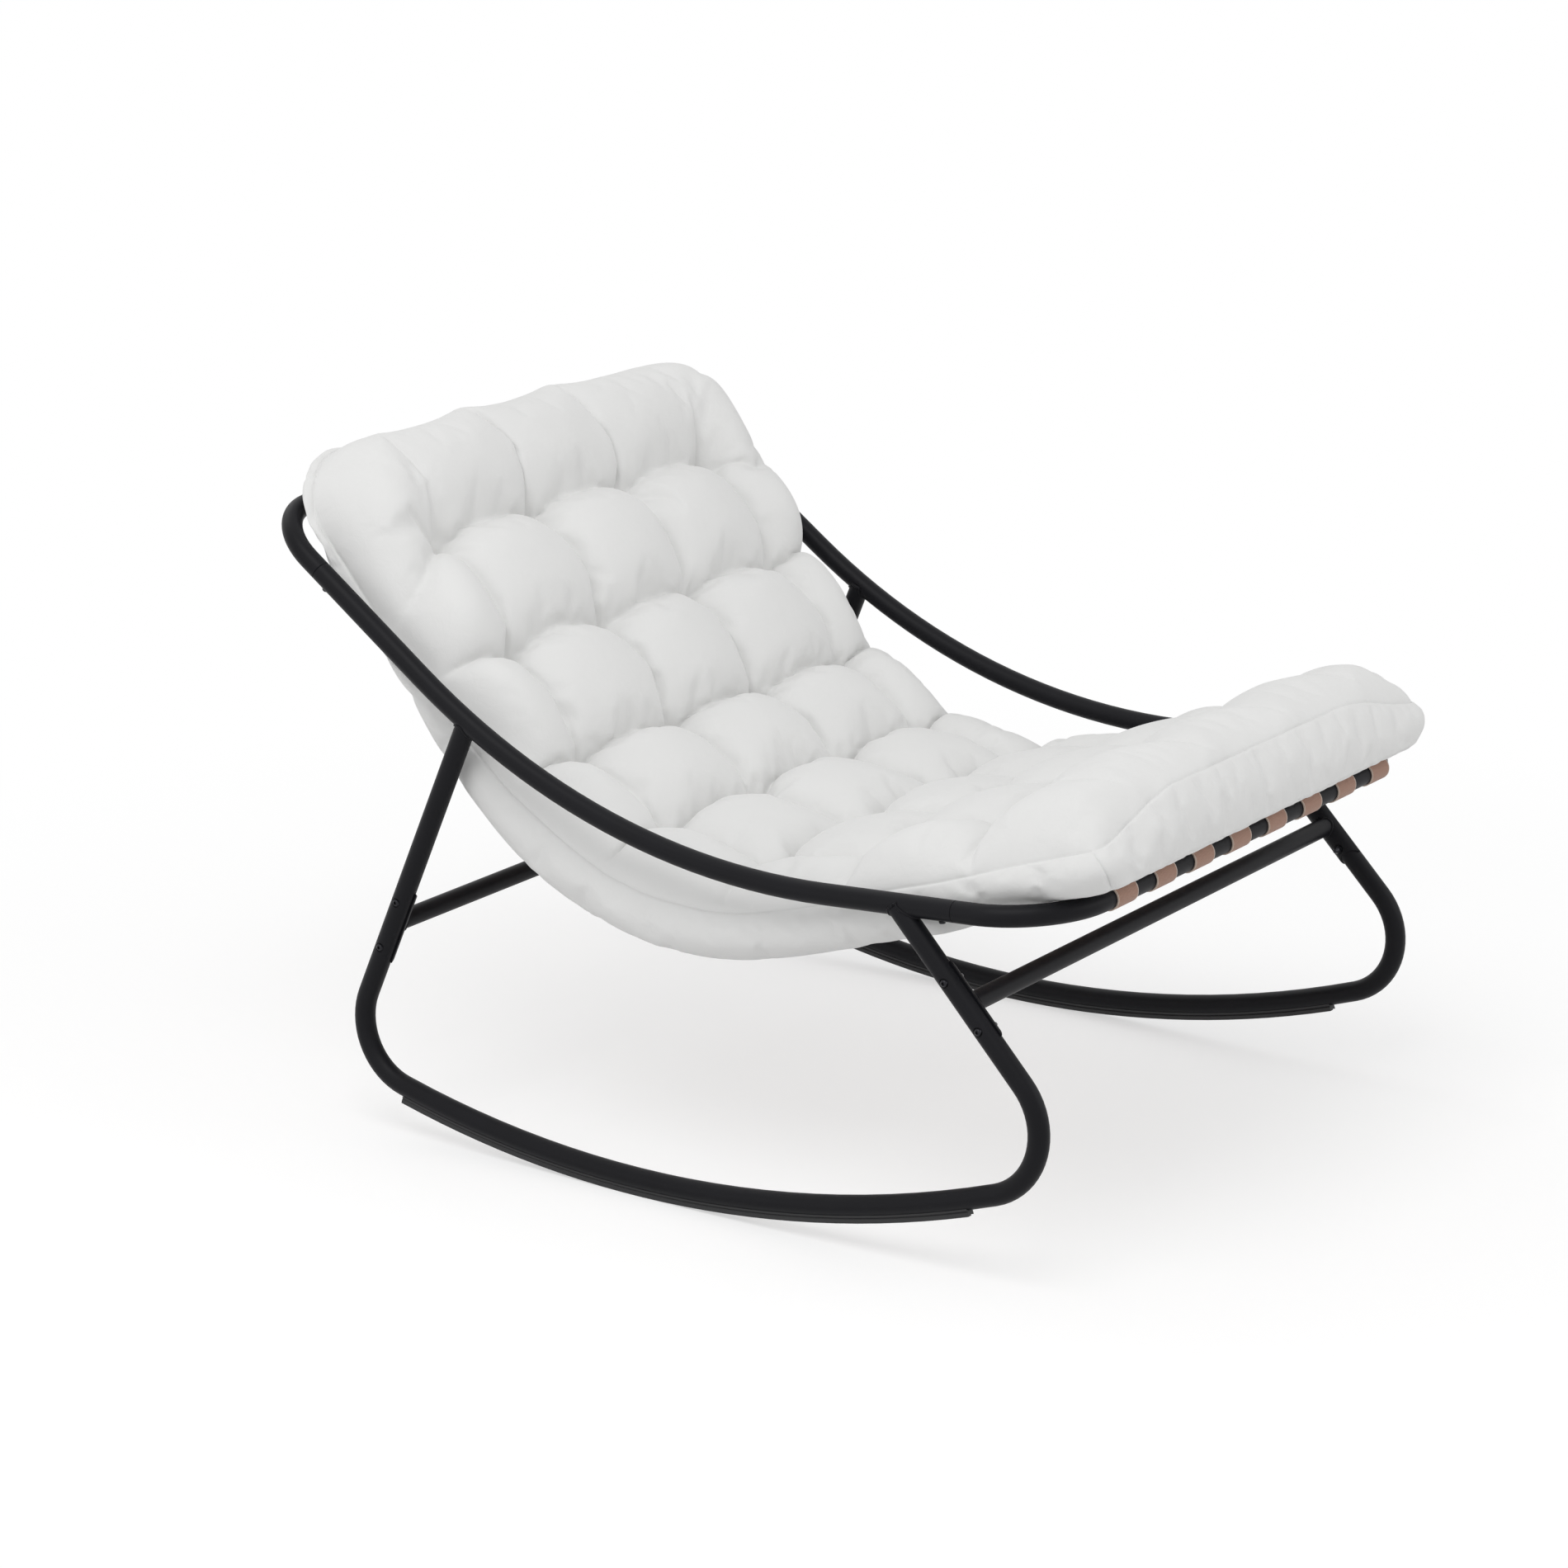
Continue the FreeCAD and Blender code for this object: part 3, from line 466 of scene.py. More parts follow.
@dataclass
class Sling:
    """Straps' middle line in side view: a straight run off each tube, and one arc between them."""

    head_tube: tuple[float, float] = (0.62722, 0.82189)
    foot_tube: tuple[float, float] = (-0.59773, 0.47607)
    loop_radius: float = 15.15 * MM
    sag_radius: float = 0.450
    low_point: tuple[float, float] = (-0.016654, 0.34120)
    head_slope: float = field(init=False)
    foot_slope: float = field(init=False)
    head_run: float = field(init=False)
    foot_run: float = field(init=False)

    def __post_init__(self) -> None:
        """Work out the slopes and lengths of the two runs from the tubes and the arc."""
        self.head_slope, self.head_run = self._run(self.head_tube)
        self.foot_slope, self.foot_run = self._run(self.foot_tube)

    def _run(self, tube: tuple[float, float]) -> tuple[float, float]:
        """Slope and length of the run that touches a tube's loop and the arc.

        Args:
            tube: the tube's centre, as y and z.

        Returns:
            The slope in radians and the length in metres.
        """
        gap_y = self.low_point[0] - tube[0]
        gap_z = self.low_point[1] + self.sag_radius - tube[1]
        distance = math.hypot(gap_y, gap_z)
        reach = self.sag_radius + self.loop_radius
        slope = math.asin(reach / distance) - math.atan2(gap_z, abs(gap_y))
        return slope, math.sqrt(distance ** 2 - reach ** 2)

    @property
    def arc(self) -> float:
        """Length of the arc between the two runs."""
        return self.sag_radius * (self.head_slope + self.foot_slope)

    def at(self, distance: float) -> tuple[Vector, Vector, Vector]:
        """Find a place on the line.

        Args:
            distance: how far from where the line leaves the head tube's loop, towards the foot.

        Returns:
            The point, the way up from the line, and the way along it to the foot.
        """
        centre_y = self.low_point[0]
        centre_z = self.low_point[1] + self.sag_radius
        into = distance - self.head_run
        angle = self.head_slope - min(max(into, 0.0), self.arc) / self.sag_radius
        up = Vector((0, -math.sin(angle), math.cos(angle)))
        along = Vector((0, -math.cos(angle), -math.sin(angle)))
        point = Vector((0, centre_y, centre_z)) - up * self.sag_radius
        point += along * (min(into, 0.0) + max(into - self.arc, 0.0))
        return point, up, along


# Straps

@dataclass
class Straps:
    """Eight webbing straps, each with a sewn loop round the head tube and one round the foot tube."""

    sling: Sling
    count: int = 8
    pitch: float = 95 * MM
    shift: float = 21.5 * MM
    width: float = 48 * MM
    thickness: float = 2 * MM
    returned: float = 55 * MM
    bend_radius: float = 12 * MM
    closing: float = math.radians(27.347)
    tail: float = 35 * MM
    across: int = 16
    loop_parts: int = 22
    return_parts: int = 5
    bend_parts: int = 4
    tail_parts: int = 4
    run_parts: int = 24
    arc_parts: int = 40

    def build(self, finish: Material) -> None:
        """Make every strap in place of its plain solid.

        Args:
            finish: the webbing.
        """
        for index in range(self.count):
            name = f"strap_{index + 1}"
            piece = self.strap(f"webbing_{index + 1}", self.middle(index))
            piece.data.materials.append(finish)
            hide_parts(name)
            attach(piece, "root")
        log.info("straps: %d", self.count)

    def middle(self, index: int) -> float:
        """Place across the chair of one strap's middle line."""
        return self.shift + (index - (self.count - 1) / 2) * self.pitch

    def strap(self, name: str, middle: float) -> Object:
        """Sweep one strap from its tail at the head end to its tail at the foot end.

        Args:
            name: the piece's name.
            middle: the x of the strap's middle line.

        Returns:
            The strap's object.
        """
        path = self.path()
        shape = bmesh.new()
        run = shape.verts.layers.float.new("run")
        start, _ = path[0]
        row = [shape.verts.new((middle + (i / self.across - 0.5) * self.width, start.y, start.z))
               for i in range(self.across + 1)]
        edges = [shape.edges.new(pair) for pair in zip(row, row[1:])]
        gone = 0.0
        for (here, _), (there, step) in zip(path, path[1:]):
            made = bmesh.ops.extrude_edge_only(shape, edges=edges)["geom"]
            verts = [item for item in made if isinstance(item, BMVert)]
            edges = [item for item in made if isinstance(item, BMEdge)]
            bmesh.ops.translate(shape, verts=verts, vec=there - here)
            gone += step
            for vert in verts:
                vert[run] = gone
        bmesh.ops.recalc_face_normals(shape, faces=shape.faces)
        cloth = shape.loops.layers.uv.new("cloth")
        for face in shape.faces:
            for loop in face.loops:
                loop[cloth].uv = (loop.vert.co.x - middle, loop.vert[run])
        made = mesh_object(name, shape)
        skin = made.modifiers.new("thickness", "SOLIDIFY")
        skin.thickness = self.thickness
        skin.offset = 0.0
        return made

    def path(self) -> list[tuple[Vector, float]]:
        """Points of the strap's middle line, each with its distance from the one before."""
        main_start, _, along = self.sling.at(0.0)
        heading = math.atan2(along.z, along.y)
        ahead = Walker(main_start, heading + math.pi)
        main = Walker(main_start, heading)
        main.run(self.sling.head_run, self.run_parts)
        main.turn(self.sling.sag_radius, -(self.sling.head_slope + self.sling.foot_slope), self.arc_parts)
        main.run(self.sling.foot_run, self.run_parts)
        for walker, side in ((ahead, -1), (main, 1)):
            walker.turn(self.sling.loop_radius, side * (math.pi + self.closing), self.loop_parts)
            walker.run(self.returned, self.return_parts)
            walker.turn(self.bend_radius, -side * self.closing, self.bend_parts)
            walker.run(self.tail, self.tail_parts)
        points = list(reversed(ahead.points)) + main.points[1:]
        return [(point, (point - before).length) for before, point in zip([points[0]] + points, points)]


class Walker:
    """Points walked along straight runs and arcs in side view, from a place and a heading."""

    def __init__(self, start: Vector, heading: float) -> None:
        """Stand at a start, with a heading in radians from +Y towards +Z."""
        self.points = [start.copy()]
        self.heading = heading

    def run(self, length: float, parts: int) -> None:
        """Walk straight on in equal parts."""
        way = Vector((0, math.cos(self.heading), math.sin(self.heading)))
        for _ in range(parts):
            self.points.append(self.points[-1] + way * (length / parts))

    def turn(self, radius: float, angle: float, parts: int) -> None:
        """Walk round an arc in equal parts; a positive angle turns left."""
        side = math.copysign(1.0, angle)
        arm = Vector((0, -math.sin(self.heading), math.cos(self.heading))) * (side * radius)
        centre = self.points[-1] + arm
        start = self.points[-1] - centre
        for part in range(1, parts + 1):
            turned = Matrix.Rotation(angle * part / parts, 3, "X") @ start
            self.points.append(centre + turned)
        self.heading += angle


# Welds and stitches

@dataclass
class Welds:
    """Beads round the legs' coped ends under the rails, and round the cross bars' ends at their saddles."""

    nodes: tuple = ("rocker_tube_left", "rocker_tube_right", "cross_bar_front", "cross_bar_rear")
    bead: float = 2.0 * MM
    ripple: float = 0.12
    sharp: float = math.radians(35)
    same_point: float = 0.001 * MM
    smallest_rim: float = 25.5 * MM
    largest_rim: float = 40 * MM

    def build(self, finish: Material) -> None:
        """Make a bead along every rim, all as one piece.

        Args:
            finish: the powder coat, which covers the welds too.
        """
        rims = [rim for name in self.nodes for rim in self.rims(frame["nodes"][name])]
        curve = bpy.data.curves.new("weld_beads", "CURVE")
        curve.dimensions = "3D"
        curve.bevel_depth = self.bead
        curve.bevel_resolution = 1
        for rim in rims:
            line = curve.splines.new("POLY")
            line.points.add(len(rim) - 1)
            line.use_cyclic_u = True
            for number, (point, place) in enumerate(zip(line.points, rim)):
                point.co = (*place, 1)
                point.radius = 1 + self.ripple * math.cos(number * math.pi)
        drawn = bpy.data.objects.new("weld_curves", curve)
        bpy.context.scene.collection.objects.link(drawn)
        mesh = bpy.data.meshes.new_from_object(drawn.evaluated_get(bpy.context.evaluated_depsgraph_get()))
        bpy.data.objects.remove(drawn)
        shape = bmesh.new()
        shape.from_mesh(mesh)
        bmesh.ops.recalc_face_normals(shape, faces=shape.faces)
        made = mesh_object("weld_beads", shape)
        made.data.materials.append(finish)
        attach(made, "root")
        log.info("weld_beads: %d beads", len(rims))

    def rims(self, node: Object) -> list[list[Vector]]:
        """Find the rims of a tube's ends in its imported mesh.

        Args:
            node: the tube's node.

        Returns:
            The points of each rim, in turn round it.
        """
        shape = bmesh.new()
        shape.from_mesh(node.data)
        bmesh.ops.remove_doubles(shape, verts=shape.verts, dist=self.same_point)
        sharp = {edge for edge in shape.edges
                 if len(edge.link_faces) == 2 and edge.calc_face_angle() > self.sharp}
        found = []
        for first in [edge for edge in shape.edges if edge in sharp]:
            if first not in sharp:
                continue
            sharp.discard(first)
            verts = set(first.verts)
            waiting = list(first.verts)
            while waiting:
                for edge in waiting.pop().link_edges:
                    if edge in sharp:
                        sharp.discard(edge)
                        waiting += [vert for vert in edge.verts if vert not in verts]
                        verts |= set(edge.verts)
            points = [vert.co.copy() for vert in sorted(verts, key=lambda vert: vert.index)]
            size = max(max(p[k] for p in points) - min(p[k] for p in points) for k in range(3))
            if self.smallest_rim < size < self.largest_rim:
                found.append(self.in_turn(points))
        shape.free()
        return found

    @staticmethod
    def in_turn(points: list[Vector]) -> list[Vector]:
        """Sort the points of a ring by their angle about its middle.

        Args:
            points: the ring's points in any order.

        Returns:
            The same points, once round the ring.
        """
        middle = sum(points, Vector()) / len(points)
        axis = Vector()
        for here, there in zip(points, points[1:]):
            normal = (here - middle).cross(there - middle)
            axis += normal if normal.dot(axis) >= 0 else -normal
        axis.normalize()
        arm = points[0] - middle
        side = (arm - axis * arm.dot(axis)).normalized()
        other = axis.cross(side)
        return sorted(points, key=lambda p: math.atan2((p - middle).dot(other), (p - middle).dot(side)))


@dataclass
class Stitches:
    """Rows of thread across the laps where each strap's tails are sewn to its main run."""

    straps: Straps
    length: float = 3.2 * MM
    thickness: float = 0.7 * MM
    step: float = 4.4 * MM
    rows: tuple = (6 * MM, 17 * MM, 28 * MM)
    margin: float = 4 * MM

    def build(self, finish: Material) -> None:
        """Make every stitch on the underside of the laps, as one piece.

        Args:
            finish: the thread.
        """
        shape = bmesh.new()
        straps = self.straps
        points = [point for point, _ in straps.path()]
        count = int((straps.width - 2 * self.margin) / self.step)
        tail = straps.tail_parts
        for end, before in ((points[-1], points[-1 - tail]), (points[0], points[tail])):
            back = (before - end).normalized()
            down = Vector((0, back.z, -back.y))
            down = down if down.z < 0 else -down
            for index in range(straps.count):
                middle = straps.middle(index)
                for row in self.rows:
                    for number in range(count):
                        x = middle + (number - (count - 1) / 2) * self.step
                        place = end + back * row + down * (straps.thickness / 2) + Vector((x, 0, 0))
                        self.stitch(shape, place)
        made = mesh_object("strap_stitches", shape)
        made.data.materials.append(finish)
        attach(made, "root")
        log.info("strap_stitches: %d faces", len(made.data.polygons))

    def stitch(self, shape: BMesh, place: Vector) -> None:
        """Add one stitch that lies across the strap."""
        grown = bmesh.ops.create_icosphere(shape, subdivisions=1, radius=0.5)["verts"]
        bmesh.ops.scale(shape, verts=grown, vec=(self.length, self.thickness, self.thickness))
        bmesh.ops.translate(shape, verts=grown, vec=place)


# Cushion

@dataclass
class Cushion:
    """Long stuffed cushion: rows of puffs between tufts, with a boxed side wall and two seams."""

    sling: Sling
    # The flat pattern
    half_width: float = 426 * MM
    low_half_width: float = 402 * MM
    length: float = 1.530
    reach: float = 45 * MM
    overhang: float = 20 * MM
    rest_gap: float = 1.4 * MM
    columns: tuple = (-0.3, -0.1, 0.1, 0.3)
    rows: tuple = (0.198, 0.379, 0.562, 0.754, 0.962, 1.160, 1.358)
    edge_columns: float = 40 * MM
    edge_rows: float = 12 * MM
    cell: float = 7.5 * MM
    wall_parts: int = 15
    wall_map: float = 0.1
    wall_shifts: tuple = (2.0, 3.0)
    # Puffs and tufts
    crowns: tuple = (0.112, 0.116, 0.108, 0.11, 0.097, 0.078, 0.098, 0.12)
    drops: tuple = (-6 * MM, 10 * MM, 26 * MM, 28 * MM, 28 * MM, 30 * MM, 24 * MM, 0 * MM)
    roundness: float = 0.55
    row_cut: float = 0.35
    column_cut: float = 0.26
    end_column_share: float = 0.08
    tuft_cut: float = 0.08
    tuft_size: float = 26 * MM
    tuft_search: float = 0.13
    fan_turns: tuple = (9, 5)
    fan_share: float = 0.6
    fan_height: float = 1.5 * MM
    fan_radius: float = 22 * MM
    fan_width: float = 26 * MM
    bow: float = 19 * MM
    lean: float = 0.19
    calm_ends: float = 80 * MM
    wander_mm: float = 4
    wander_turns: tuple = (9, 7)
    wander_layers: tuple = (1.7, 9.1)
    smooth_ends: tuple = (0.185, 0.178)
    puff_spread: float = 0.05
    tuft_stray_mm: float = 5
    phase_range: float = 6.28
    seed: int = 7
    # Side puffs at the head, with swept creases
    corner_sweep: float = 78 * MM
    sweep_lead: float = 10 * MM
    sweep_fades: tuple = (0.27, 0.37)
    far_smooth: float = 0.85
    far_swell: float = 13 * MM
    far_lead: float = 8 * MM
    far_edge: float = 60 * MM
    # Wall and seams
    boxing: float = 82 * MM
    side_seam: float = 0.46
    head_seam: float = 24 * MM
    head_side_share: float = 0.34
    head_side: tuple = (0.30, 0.62)
    foot_seam: float = 96 * MM
    foot_corner_fall: float = 0.38
    head_blend: tuple = (10 * MM, 90 * MM)
    foot_blend: tuple = (10 * MM, 110 * MM)
    rolls: tuple = (92 * MM, 92 * MM, 64 * MM)
    foot_lift: float = 4 * MM
    end_fades: tuple = (70 * MM, 60 * MM)
    corners: tuple = (115 * MM, 30 * MM)
    wall_bulge: float = 22 * MM
    end_bulge: float = 10 * MM
    ripple_mm: float = 3
    ripple_turns: tuple = (26, 14, 1.5)
    seam_groove: float = 2.6 * MM
    seam_width: float = 2.4 * MM
    seam_near: float = 0.6
    seam_crease: float = 0.8
    # How firmly the cloth is held
    crease_width: float = 5 * MM
    tuft_width: float = 9 * MM
    row_hold: float = 0.55
    column_hold: float = 0.45
    seam_hold: float = 0.6
    loose_hold: float = 0.3
    strap_reach: float = 380 * MM
    strap_margin: float = 10 * MM
    # The stuffing
    wall_tautness: float = 0.88
    foot_tautness: float = 0.72
    taut_edge: tuple = (8 * MM, 60 * MM)
    cap: float = 26 * MM
    pressure: float = 14.0
    point_mass: float = 0.3
    spare_cloth: float = 0.10
    boxing_ease: float = 0.008
    tension: float = 15.0
    bending: float = 0.4
    quality: int = 5
    frames: int = 20

    def build(self, finish: Material) -> None:
        """Make the cushion: a flat pattern box, shaped, inflated and smoothed.

        Args:
            finish: the canvas.
        """
        chance = random.Random(self.seed)
        across, along = len(self.columns), len(self.rows)
        self.puff_lift = [[1 + chance.uniform(-self.puff_spread, self.puff_spread)
                           for _ in range(across + 1)] for _ in range(along + 1)]
        stray = self.tuft_stray_mm
        self.tuft_shift = [[(chance.uniform(-stray, stray) * MM, chance.uniform(-stray, stray) * MM)
                            for _ in range(across)] for _ in range(along)]
        self.tuft_phase = [[chance.uniform(0, self.phase_range) for _ in range(across)]
                           for _ in range(along)]
        made = self.pattern_box()
        self.inflate(made)
        self.sew(made)
        made.data.materials.append(finish)
        smooth = made.modifiers.new("soft", "SUBSURF")
        smooth.levels = 1
        smooth.render_levels = 1
        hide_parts("cushion")
        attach(made, "root")
        log.info("cushion: %d points", len(made.data.vertices))

    # Start shape

    def pattern_box(self) -> Object:
        """Lay out the cover as a fine box, map its cloth, mark its seams, and bend it onto the sling.

        Returns:
            The cover's object, with groups for where it is held and where it is taut.
        """
        across = round(2 * self.half_width / self.cell)
        along = round(self.length / self.cell)
        shape = bmesh.new()
        bmesh.ops.create_grid(shape, x_segments=across, y_segments=along, size=1.0)
        made = bmesh.ops.extrude_face_region(shape, geom=shape.faces[:])["geom"]
        top = [item for item in made if isinstance(item, BMVert)]
        bmesh.ops.translate(shape, verts=top, vec=(0, 0, 1))
        upright = [edge for edge in shape.edges if abs(edge.verts[0].co.z - edge.verts[1].co.z) > 0.5]
        bmesh.ops.subdivide_edges(shape, edges=upright, cuts=self.wall_parts - 1, use_grid_fill=True)
        bmesh.ops.recalc_face_normals(shape, faces=shape.faces)
        cloth = shape.loops.layers.uv.new("cloth")
        for face in shape.faces:
            normal = face.normal
            for loop in face.loops:
                u, v, w = loop.vert.co
                x = u * self.half_width
                s = (v + 1) / 2 * self.length
                if abs(normal.z) > 0.5:
                    loop[cloth].uv = (x, s)
                elif abs(normal.x) > 0.5:
                    loop[cloth].uv = (w * self.wall_map + self.wall_shifts[0], s)
                else:
                    loop[cloth].uv = (x, w * self.wall_map + self.wall_shifts[1])
        sewn = shape.edges.layers.int.new("sewn_line")
        for edge in shape.edges:
            ends = [vert.co for vert in edge.verts]
            level = ends[0].z == ends[1].z and (ends[0].z < 1 - RIM or ends[0].z > RIM)
            rim = any(all(abs(abs(end[k]) - 1) < 1 - RIM for end in ends) for k in (0, 1))
            corner = all(abs(end.x) > RIM and end.y > RIM for end in ends)
            edge[sewn] = int((level and rim) or corner)
        pins = []
        taut = []
        for vert in shape.verts:
            taut.append(self.tautness(*vert.co))
            vert.co, pin = self.place(*vert.co)
            pins.append(pin)
        bmesh.ops.reverse_faces(shape, faces=shape.faces)
        made = mesh_object("tufted_cushion", shape)
        for name, weights in (("held", pins), ("taut", taut)):
            group = made.vertex_groups.new(name=name)
            for index, weight in enumerate(weights):
                if weight > 0.01:
                    group.add([index], min(weight, 1.0), "REPLACE")
        return made

    def tautness(self, u: float, v: float, w: float) -> float:
        """How little spare cloth a place of the pattern has, from 0 to 1: little at seams and boxing."""
        if w < RIM:
            return self.foot_tautness if v > RIM else self.wall_tautness
        to_side = (1 - abs(u)) * self.half_width
        to_end = (1 - abs(v)) * self.length / 2
        return 1 - smooth_step(*self.taut_edge, min(to_side, to_end))

    def profile(self, share: float) -> float:
        """Height share of a puff at -1 to 1 across it: round on top, steep at its creases."""
        return max(1 - share * share, 0.0) ** self.roundness

    @staticmethod
    def gap(lines: tuple, value: float) -> tuple[int, float]:
        """Which gap between lines a value lies in, and where in it from -1 to 1."""
        for index, (low, high) in enumerate(zip(lines, lines[1:])):
            if value <= high or index == len(lines) - 2:
                return index, (2 * value - low - high) / (high - low)
        return 0, 0.0

    def nearest_tuft(self, x: float, s: float) -> tuple[float, float, int, int]:
        """Distance and angle to the nearest tuft, with its row and column."""
        best = (9.0, 0.0, 0, 0)
        for i, row in enumerate(self.rows):
            if abs(s - row) > self.tuft_search:
                continue
            for j, column in enumerate(self.columns):
                dx = x - column - self.tuft_shift[i][j][0]
                ds = s - row - self.tuft_shift[i][j][1]
                distance = math.hypot(dx, ds)
                if distance < best[0]:
                    best = (distance, math.atan2(ds, dx), i, j)
        return best

    def blended(self, values: tuple, s: float) -> float:
        """A row value that changes smoothly from one row's middle to the next."""
        lines = (0.0,) + self.rows + (self.length,)
        middles = [(low + high) / 2 for low, high in zip(lines, lines[1:])]
        if s <= middles[0]:
            return values[0]
        for index in range(len(middles) - 1):
            if s <= middles[index + 1]:
                share = smooth_step(middles[index], middles[index + 1], s)
                return values[index] + (values[index + 1] - values[index]) * share
        return values[-1]

    def top(self, x: float, s: float) -> tuple[float, float]:
        """Height of the cover's top over the straps, and how firmly it is held there.

        Args:
            x: place across the cushion.
            s: place along it from the head end.

        Returns:
            The height and the hold from 0 to 1.
        """
        turns, layers = self.wander_turns, self.wander_layers
        wobble = noise.noise(Vector((x * turns[0], s * turns[0], layers[0]))) * self.wander_mm * MM
        swing = noise.noise(Vector((x * turns[1], s * turns[1], layers[1]))) * self.wander_mm * MM
        sides = self.half_width + self.edge_columns
        column, a = self.gap((-sides,) + self.columns + (sides,), x + wobble)
        inner = smooth_step(0, self.calm_ends, s) * smooth_step(0, self.calm_ends, self.length - s)
        near_head = 1 - smooth_step(*self.sweep_fades, s)
        s_row = s + (self.bow * (1 - a * a) + swing) * inner
        swept = smooth_step(self.columns[-1] - self.sweep_lead, self.half_width, abs(x))
        s_row -= self.corner_sweep * swept * near_head
        row, b = self.gap((-self.edge_rows,) + self.rows + (self.length + self.edge_rows,), s_row)
        b += self.lean * (1 - b * b)
        distance, angle, i, j = self.nearest_tuft(x, s)
        far = smooth_step(self.columns[-1] + self.far_lead, self.half_width - self.far_edge, x) * near_head
        gaps = zip((s, self.length - s), self.smooth_ends)
        sewn = math.prod(smooth_step(end / 2, end, gap) for gap, end in gaps)
        lift = 1 + (self.puff_lift[row][column] - 1) * sewn
        crown = self.blended(self.crowns, s) * lift + self.far_swell * far
        row_fall = self.row_cut * (1 - self.profile(b)) * sewn * (1 - self.far_smooth * far)
        end_share = self.end_column_share
        column_fall = self.column_cut * (1 - self.profile(a)) * (end_share + (1 - end_share) * sewn)
        tuft = self.tuft_cut * math.exp(-(distance / self.tuft_size) ** 2)
        height = crown * (1 - row_fall - column_fall - tuft)
        fan = math.sin(angle * self.fan_turns[0] + self.tuft_phase[i][j]) * self.fan_share
        fan += math.sin(angle * self.fan_turns[1] + self.tuft_phase[i][(j + 1) % len(self.columns)])
        ring = math.exp(-(distance - self.fan_radius) ** 2 / self.fan_width ** 2)
        height += self.fan_height * fan * ring
        edge = self.seam_height(x, s)
        height = edge + (height - edge) * self.edge_rise(x, s)
        near_row = min(abs(s_row - line) for line in self.rows) / self.crease_width
        near_column = min(abs(x + wobble - line) for line in self.columns) / self.crease_width
        hold = max(math.exp(-near_row ** 2) * self.row_hold * (1 - self.far_smooth * far),
                   math.exp(-near_column ** 2) * self.column_hold * sewn,
                   math.exp(-(distance / self.tuft_width) ** 2))
        return height, hold

    def seam_height(self, x: float, s: float) -> float:
        """Height over the straps of the seam between the top panel and the boxing.

        Args:
            x: place across the cushion.
            s: place along it from the head end.

        Returns:
            The height: low where the head's puffs wrap round the sides and at the foot's corners.
        """
        side = min(self.boxing - self.blended(self.drops, s), self.side_seam * self.blended(self.crowns, s))
        side *= self.head_side_share + (1 - self.head_side_share) * smooth_step(*self.head_side, s)
        fall = self.foot_corner_fall * smooth_step(self.half_width / 2, self.half_width, abs(x))
        foot = self.foot_seam * (1 - fall)
        to_head = 1 - smooth_step(*self.head_blend, s)
        to_foot = 1 - smooth_step(*self.foot_blend, self.length - s)
        return side + (self.head_seam - side) * to_head + (foot - side) * to_foot

    def edge_rise(self, x: float, s: float) -> float:
        """How far the top has risen from its seam at the sides, head and foot, from 0 to 1."""
        gaps = zip((self.half_width - abs(x), s, self.length - s), self.rolls)
        return math.prod(self.profile(max(1 - gap / roll, 0.0)) for gap, roll in gaps)

    def outline(self, x: float, s: float) -> tuple[float, float, float, float]:
        """Round the corners of the pattern in plan.

        Args:
            x: place across the cushion.
            s: place along it from the head end.

        Returns:
            The two places inside the rounded outline, and the way out of it there, across and along.
        """
        for radius, at_end, end in zip(self.corners, (s, self.length - s), (-1, 1)):
            dx = abs(x) - (self.half_width - radius)
            ds = radius - at_end
            if dx > 0 and ds > 0:
                size = math.hypot(dx, ds)
                scale = max(dx, ds) / size
                moved = radius - ds * scale
                return (math.copysign(self.half_width - radius + dx * scale, x),
                        moved if end < 0 else self.length - moved,
                        math.copysign(dx / size, x), end * ds / size)
        if self.half_width - abs(x) < min(s, self.length - s):
            return x, s, math.copysign(1.0, x), 0.0
        return x, s, 0.0, (1.0 if s > self.length / 2 else -1.0)

    def place(self, u: float, v: float, w: float) -> tuple[Vector, float]:
        """Where a point of the flat pattern goes on the chair.

        Args:
            u: place across, from -1 to 1.
            v: place along, from -1 at the head end to 1 at the foot end.
            w: 0 on the bottom panel, 1 on the top panel, and between on the wall.

        Returns:
            The point, and how firmly the cloth is held there.
        """
        x0 = u * self.half_width
        s0 = (v + 1) / 2 * self.length
        x, s, across, along = self.outline(x0, s0)
        top, hold = self.top(x0, s0)
        drop = self.blended(self.drops, s0)
        gaps = zip((s0, self.length - s0), self.end_fades)
        ends = sum(max(1 - gap / fade, 0.0) ** 2 for gap, fade in gaps)
        low_x = x * self.low_half_width / self.half_width
        sag = smooth_step(self.strap_reach, self.low_half_width, abs(low_x)) * drop
        bottom = self.foot_lift * ends - sag
        on_straps = abs(low_x) < self.strap_reach - self.strap_margin and ends == 0
        at_seam = self.seam_hold * (max(abs(u), abs(v)) > RIM)
        if w <= 0.0:
            height, hold, x = bottom, max(1.0 if on_straps else self.loose_hold, at_seam), low_x
        elif w >= 1.0:
            height, hold = top, max(hold, at_seam)
        else:
            swell = 4 * w * (1 - w)
            height = bottom + (top - bottom) * w
            turns = self.ripple_turns
            ripple = noise.noise(Vector((x0 * turns[0], s0 * turns[1], w * turns[2])))
            ripple = ripple * self.ripple_mm * MM * swell
            bulge = (self.wall_bulge * across ** 2 + self.end_bulge * along ** 2) * swell + ripple
            x = low_x + (x - low_x) * w + bulge * across
            s += bulge * along
            hold = 0.0
        s = min(max(s, -self.overhang), self.length + self.overhang)
        point, up, _ = self.sling.at(s - self.reach)
        return point + Vector((x, 0, 0)) + up * (height + self.rest_gap), hold

